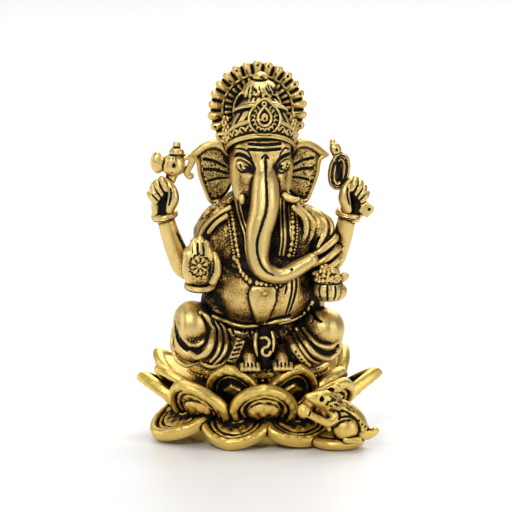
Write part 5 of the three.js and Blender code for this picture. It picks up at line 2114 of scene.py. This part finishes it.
def antique_gold(name, polish, patina, warmth):
    """Gold plating: pale in the open, brown gold as painted half shade in half shelter, with black oxide in the
    recesses that also serves as painted shade in big hollows, between parts and in the placed zones.

    polish sharpens the reflections, patina moves the oxide outwards, and warmth shifts the gold to orange."""
    n = Nodes(name)
    where = n.node("ShaderNodeTexCoord").outputs["Object"]

    def attribute(name, output):
        node = n.node("ShaderNodeAttribute")
        node.attribute_name = name
        return node.outputs[output]

    fine, middle, broad = n.node("ShaderNodeSeparateXYZ", Vector=attribute("shelter", "Vector")).outputs
    ink = attribute("ink", "Fac")
    shade_and_patina_amount = attribute("tarnish", "Fac")
    coarse = n.math("SUBTRACT", n.noise(where, 420.0, 4.0), 0.5)
    grain = n.math("SUBTRACT", n.noise(where, 1500.0, 3.0, 0.6), 0.5)
    speck = n.noise(where, 2700.0, 2.0, 0.5)
    grit = n.math("SUBTRACT", n.noise(where, 2400.0, 2.0, 0.7), 0.5)

    # how much oxide and painted shade: recesses at three scales, the broadest of them painted shade between
    # parts, and the placed zones of patina and painted shade, broken up by noise
    deep = n.math("MULTIPLY_ADD", n.math("SUBTRACT", fine, 0.5), 1.35, shade_and_patina_amount)
    deep = n.math("MULTIPLY_ADD", n.math("SUBTRACT", middle, 0.5), 1.0, deep)
    deep = n.math("MULTIPLY_ADD", n.math("SUBTRACT", broad, 0.5), 0.55, deep)
    rough_edge = n.math("MULTIPLY_ADD", shade_and_patina_amount, 3.0, 0.3)
    mottle = n.math(
        "MULTIPLY_ADD", coarse, 0.5, n.math("MULTIPLY_ADD", grit, 1.3, n.math("MULTIPLY", grain, 0.5))
    )
    broken = n.math("MULTIPLY", mottle, rough_edge)
    level = n.math("ADD", deep, broken)
    recess = n.step(level, 0.062 - patina, 0.092 - patina)
    ragged_ink = n.math("MULTIPLY_ADD", grit, 0.3, n.math("MULTIPLY_ADD", grain, 0.35, ink))
    drawn = n.math("SUBTRACT", 1.0, n.step(ragged_ink, 0.05, 0.13))
    pitted = n.step(n.math("MULTIPLY_ADD", coarse, 0.35, deep), -0.07, 0.09)
    pits = n.math("MULTIPLY", n.step(speck, 0.63, 0.66), pitted)
    # oxide: black oxide in the recesses, which also paints shade in big hollows and in the placed zones
    oxide = n.math("MAXIMUM", n.math("MAXIMUM", recess, drawn), pits, clamp=True)

    # the gold under it: pale gold, and rich gold as its shaded copy, mixed in by shelter as painted half shade
    # and by random mottling
    shade = n.step(n.math("MULTIPLY_ADD", mottle, 0.45, deep), -0.16, 0.08)
    pale = (0.78, 0.578 - 0.02 * warmth, 0.22 - 0.07 * warmth, 1)
    rich = (0.50, 0.275 - 0.01 * warmth, 0.045 - 0.02 * warmth, 1)
    gold = n.mix(shade, pale, rich)
    # brown, partly patina and partly painted shade, round the dark zones
    gold = n.mix(n.step(level, -0.05, 0.08), gold, BROWN_PATINA_AND_SHADE)
    colour = n.mix(oxide, gold, OXIDE_AND_SHADE_BLACK)
    rough = n.math("MULTIPLY_ADD", grain, 0.25, 0.36 - polish)
    rough = n.math("MULTIPLY_ADD", shade, 0.06, rough)
    rough = n.math("MULTIPLY_ADD", oxide, 0.2, rough)

    relief = n.math("MULTIPLY_ADD", grain, 1.1, speck)
    bump = n.node("ShaderNodeBump", Strength=0.8, Distance=0.00012, Height=relief)
    shader = n.node("ShaderNodeBsdfPrincipled", Base_Color=colour, Roughness=rough, Normal=bump.outputs[0])
    n.feed(shader, "Metallic", n.math("MULTIPLY_ADD", oxide, -0.6, 1.0))
    shader.inputs["Specular IOR Level"].default_value = 0.25
    n.tree.links.new(shader.outputs[0], n.node("ShaderNodeOutputMaterial").inputs[0])
    return n.material


def build_model():
    """Every visual piece, dressed, riding on the one body and standing for its CAD node."""
    metals = {
        FIGURE: antique_gold("figure_metal", 0.02, 0.0, 0.0),
        ORNAMENT: antique_gold("ornament_metal", 0.04, 0.02, 0.1),
        LOTUS: antique_gold("lotus_metal", 0.04, 0.01, 1.0),
        MOUSE: antique_gold("mouse_metal", 0.02, 0.02, 0.9),
    }
    found = build_clays()
    low, fields = shelter_fields([clay for clay, _, _ in found.values()])
    for node, (clay, slot, share) in found.items():
        made = mesh_object(node + "_cast", clay, share)
        dress(made, clay, low, fields)
        made.data.materials.append(metals[slot])
        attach(made, "root")
        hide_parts(node)


# ---------------------------------------------------------------- stage


def flat_material(name, colour, roughness):
    """A plain paint with a barely visible unevenness."""
    n = Nodes(name)
    grain = n.noise(n.node("ShaderNodeTexCoord").outputs["Object"], 30.0)
    tint = n.mix(grain, colour, tuple(min(1, 0.985 * c) for c in colour[:3]) + (1,))
    shader = n.node("ShaderNodeBsdfPrincipled", Base_Color=tint, Roughness=roughness)
    n.tree.links.new(shader.outputs[0], n.node("ShaderNodeOutputMaterial").inputs[0])
    return n.material


def sweep():
    """A floor that curves up into a backdrop far behind the object."""
    far, rise = 1.6, 0.5
    profile = [(-2.5, 0), (-1, 0), (0, 0), (far - rise, 0)]
    for a in np.linspace(0.1, math.pi / 2, 10):
        profile.append((far - rise + rise * math.sin(a), rise - rise * math.cos(a)))
    profile += [(far, 3.0)]
    data = bpy.data.meshes.new("sweep")
    points = [(x, y, z) for y, z in profile for x in (-3.0, 3.0)]
    faces = [(2 * i, 2 * i + 1, 2 * i + 3, 2 * i + 2) for i in range(len(profile) - 1)]
    data.from_pydata(points, [], faces)
    data.shade_smooth()
    made = bpy.data.objects.new("sweep", data)
    bpy.context.scene.collection.objects.link(made)
    made.data.materials.append(flat_material("white_sweep", (0.92, 0.92, 0.92, 1), 0.35))


def softbox(name, at, size, power, target=(0, 0, 0.055)):
    """A rectangular light that faces its target, the middle of the figure by default."""
    data = bpy.data.lights.new(name, "AREA")
    data.shape = "RECTANGLE"
    data.size, data.size_y = size
    data.energy = power
    made = bpy.data.objects.new(name, data)
    made.location = at
    made.rotation_euler = (Vector(target) - Vector(at)).to_track_quat("-Z", "Y").to_euler()
    bpy.context.scene.collection.objects.link(made)


def lights():
    """Soft studio light: a small key on the viewer's left, weaker lights around, and a white world."""
    softbox("key", (-0.35, -0.8, 0.6), (0.24, 0.24), 3.6)
    softbox("fill", (0.75, -0.55, 0.35), (0.1, 0.4), 1.9)
    softbox("top", (0.0, 0.05, 0.9), (0.5, 0.5), 2.5)
    softbox("left", (-0.85, 0.05, 0.3), (0.25, 0.6), 1.4)
    softbox("rim", (0.4, 0.8, 0.6), (0.5, 0.4), 2.5)
    softbox("backdrop", (0.0, 0.55, 1.5), (1.6, 0.4), 14, (0.0, 1.6, 0.45))
    world = bpy.data.worlds.new("studio")
    world.use_nodes = True
    world.node_tree.nodes["Background"].inputs["Color"].default_value = (1, 1, 1, 1)
    world.node_tree.nodes["Background"].inputs["Strength"].default_value = 0.26
    bpy.context.scene.world = world


CAMERA_TURN, CAMERA_RISE, CAMERA_FAR, CAMERA_WIDTH = -4.0, 10.0, 1.6, 0.1566


def camera():
    """A long lens, slightly to the viewer's left of the front and a little above."""
    turn, rise = math.radians(CAMERA_TURN), math.radians(CAMERA_RISE)
    look = Vector((-0.0008, 0, 0.0554))
    back = Vector((math.sin(turn) * math.cos(rise), -math.cos(turn) * math.cos(rise), math.sin(rise)))
    data = bpy.data.cameras.new("camera")
    data.sensor_width = 36
    data.lens = data.sensor_width * CAMERA_FAR / CAMERA_WIDTH
    data.clip_start = 0.01
    made = bpy.data.objects.new("camera", data)
    made.location = look + back * CAMERA_FAR
    made.rotation_euler = (-back).to_track_quat("-Z", "Y").to_euler()
    bpy.context.scene.collection.objects.link(made)
    bpy.context.scene.camera = made


camera()
build_model()
sweep()
lights()
bpy.context.scene.view_settings.view_transform = "Standard"
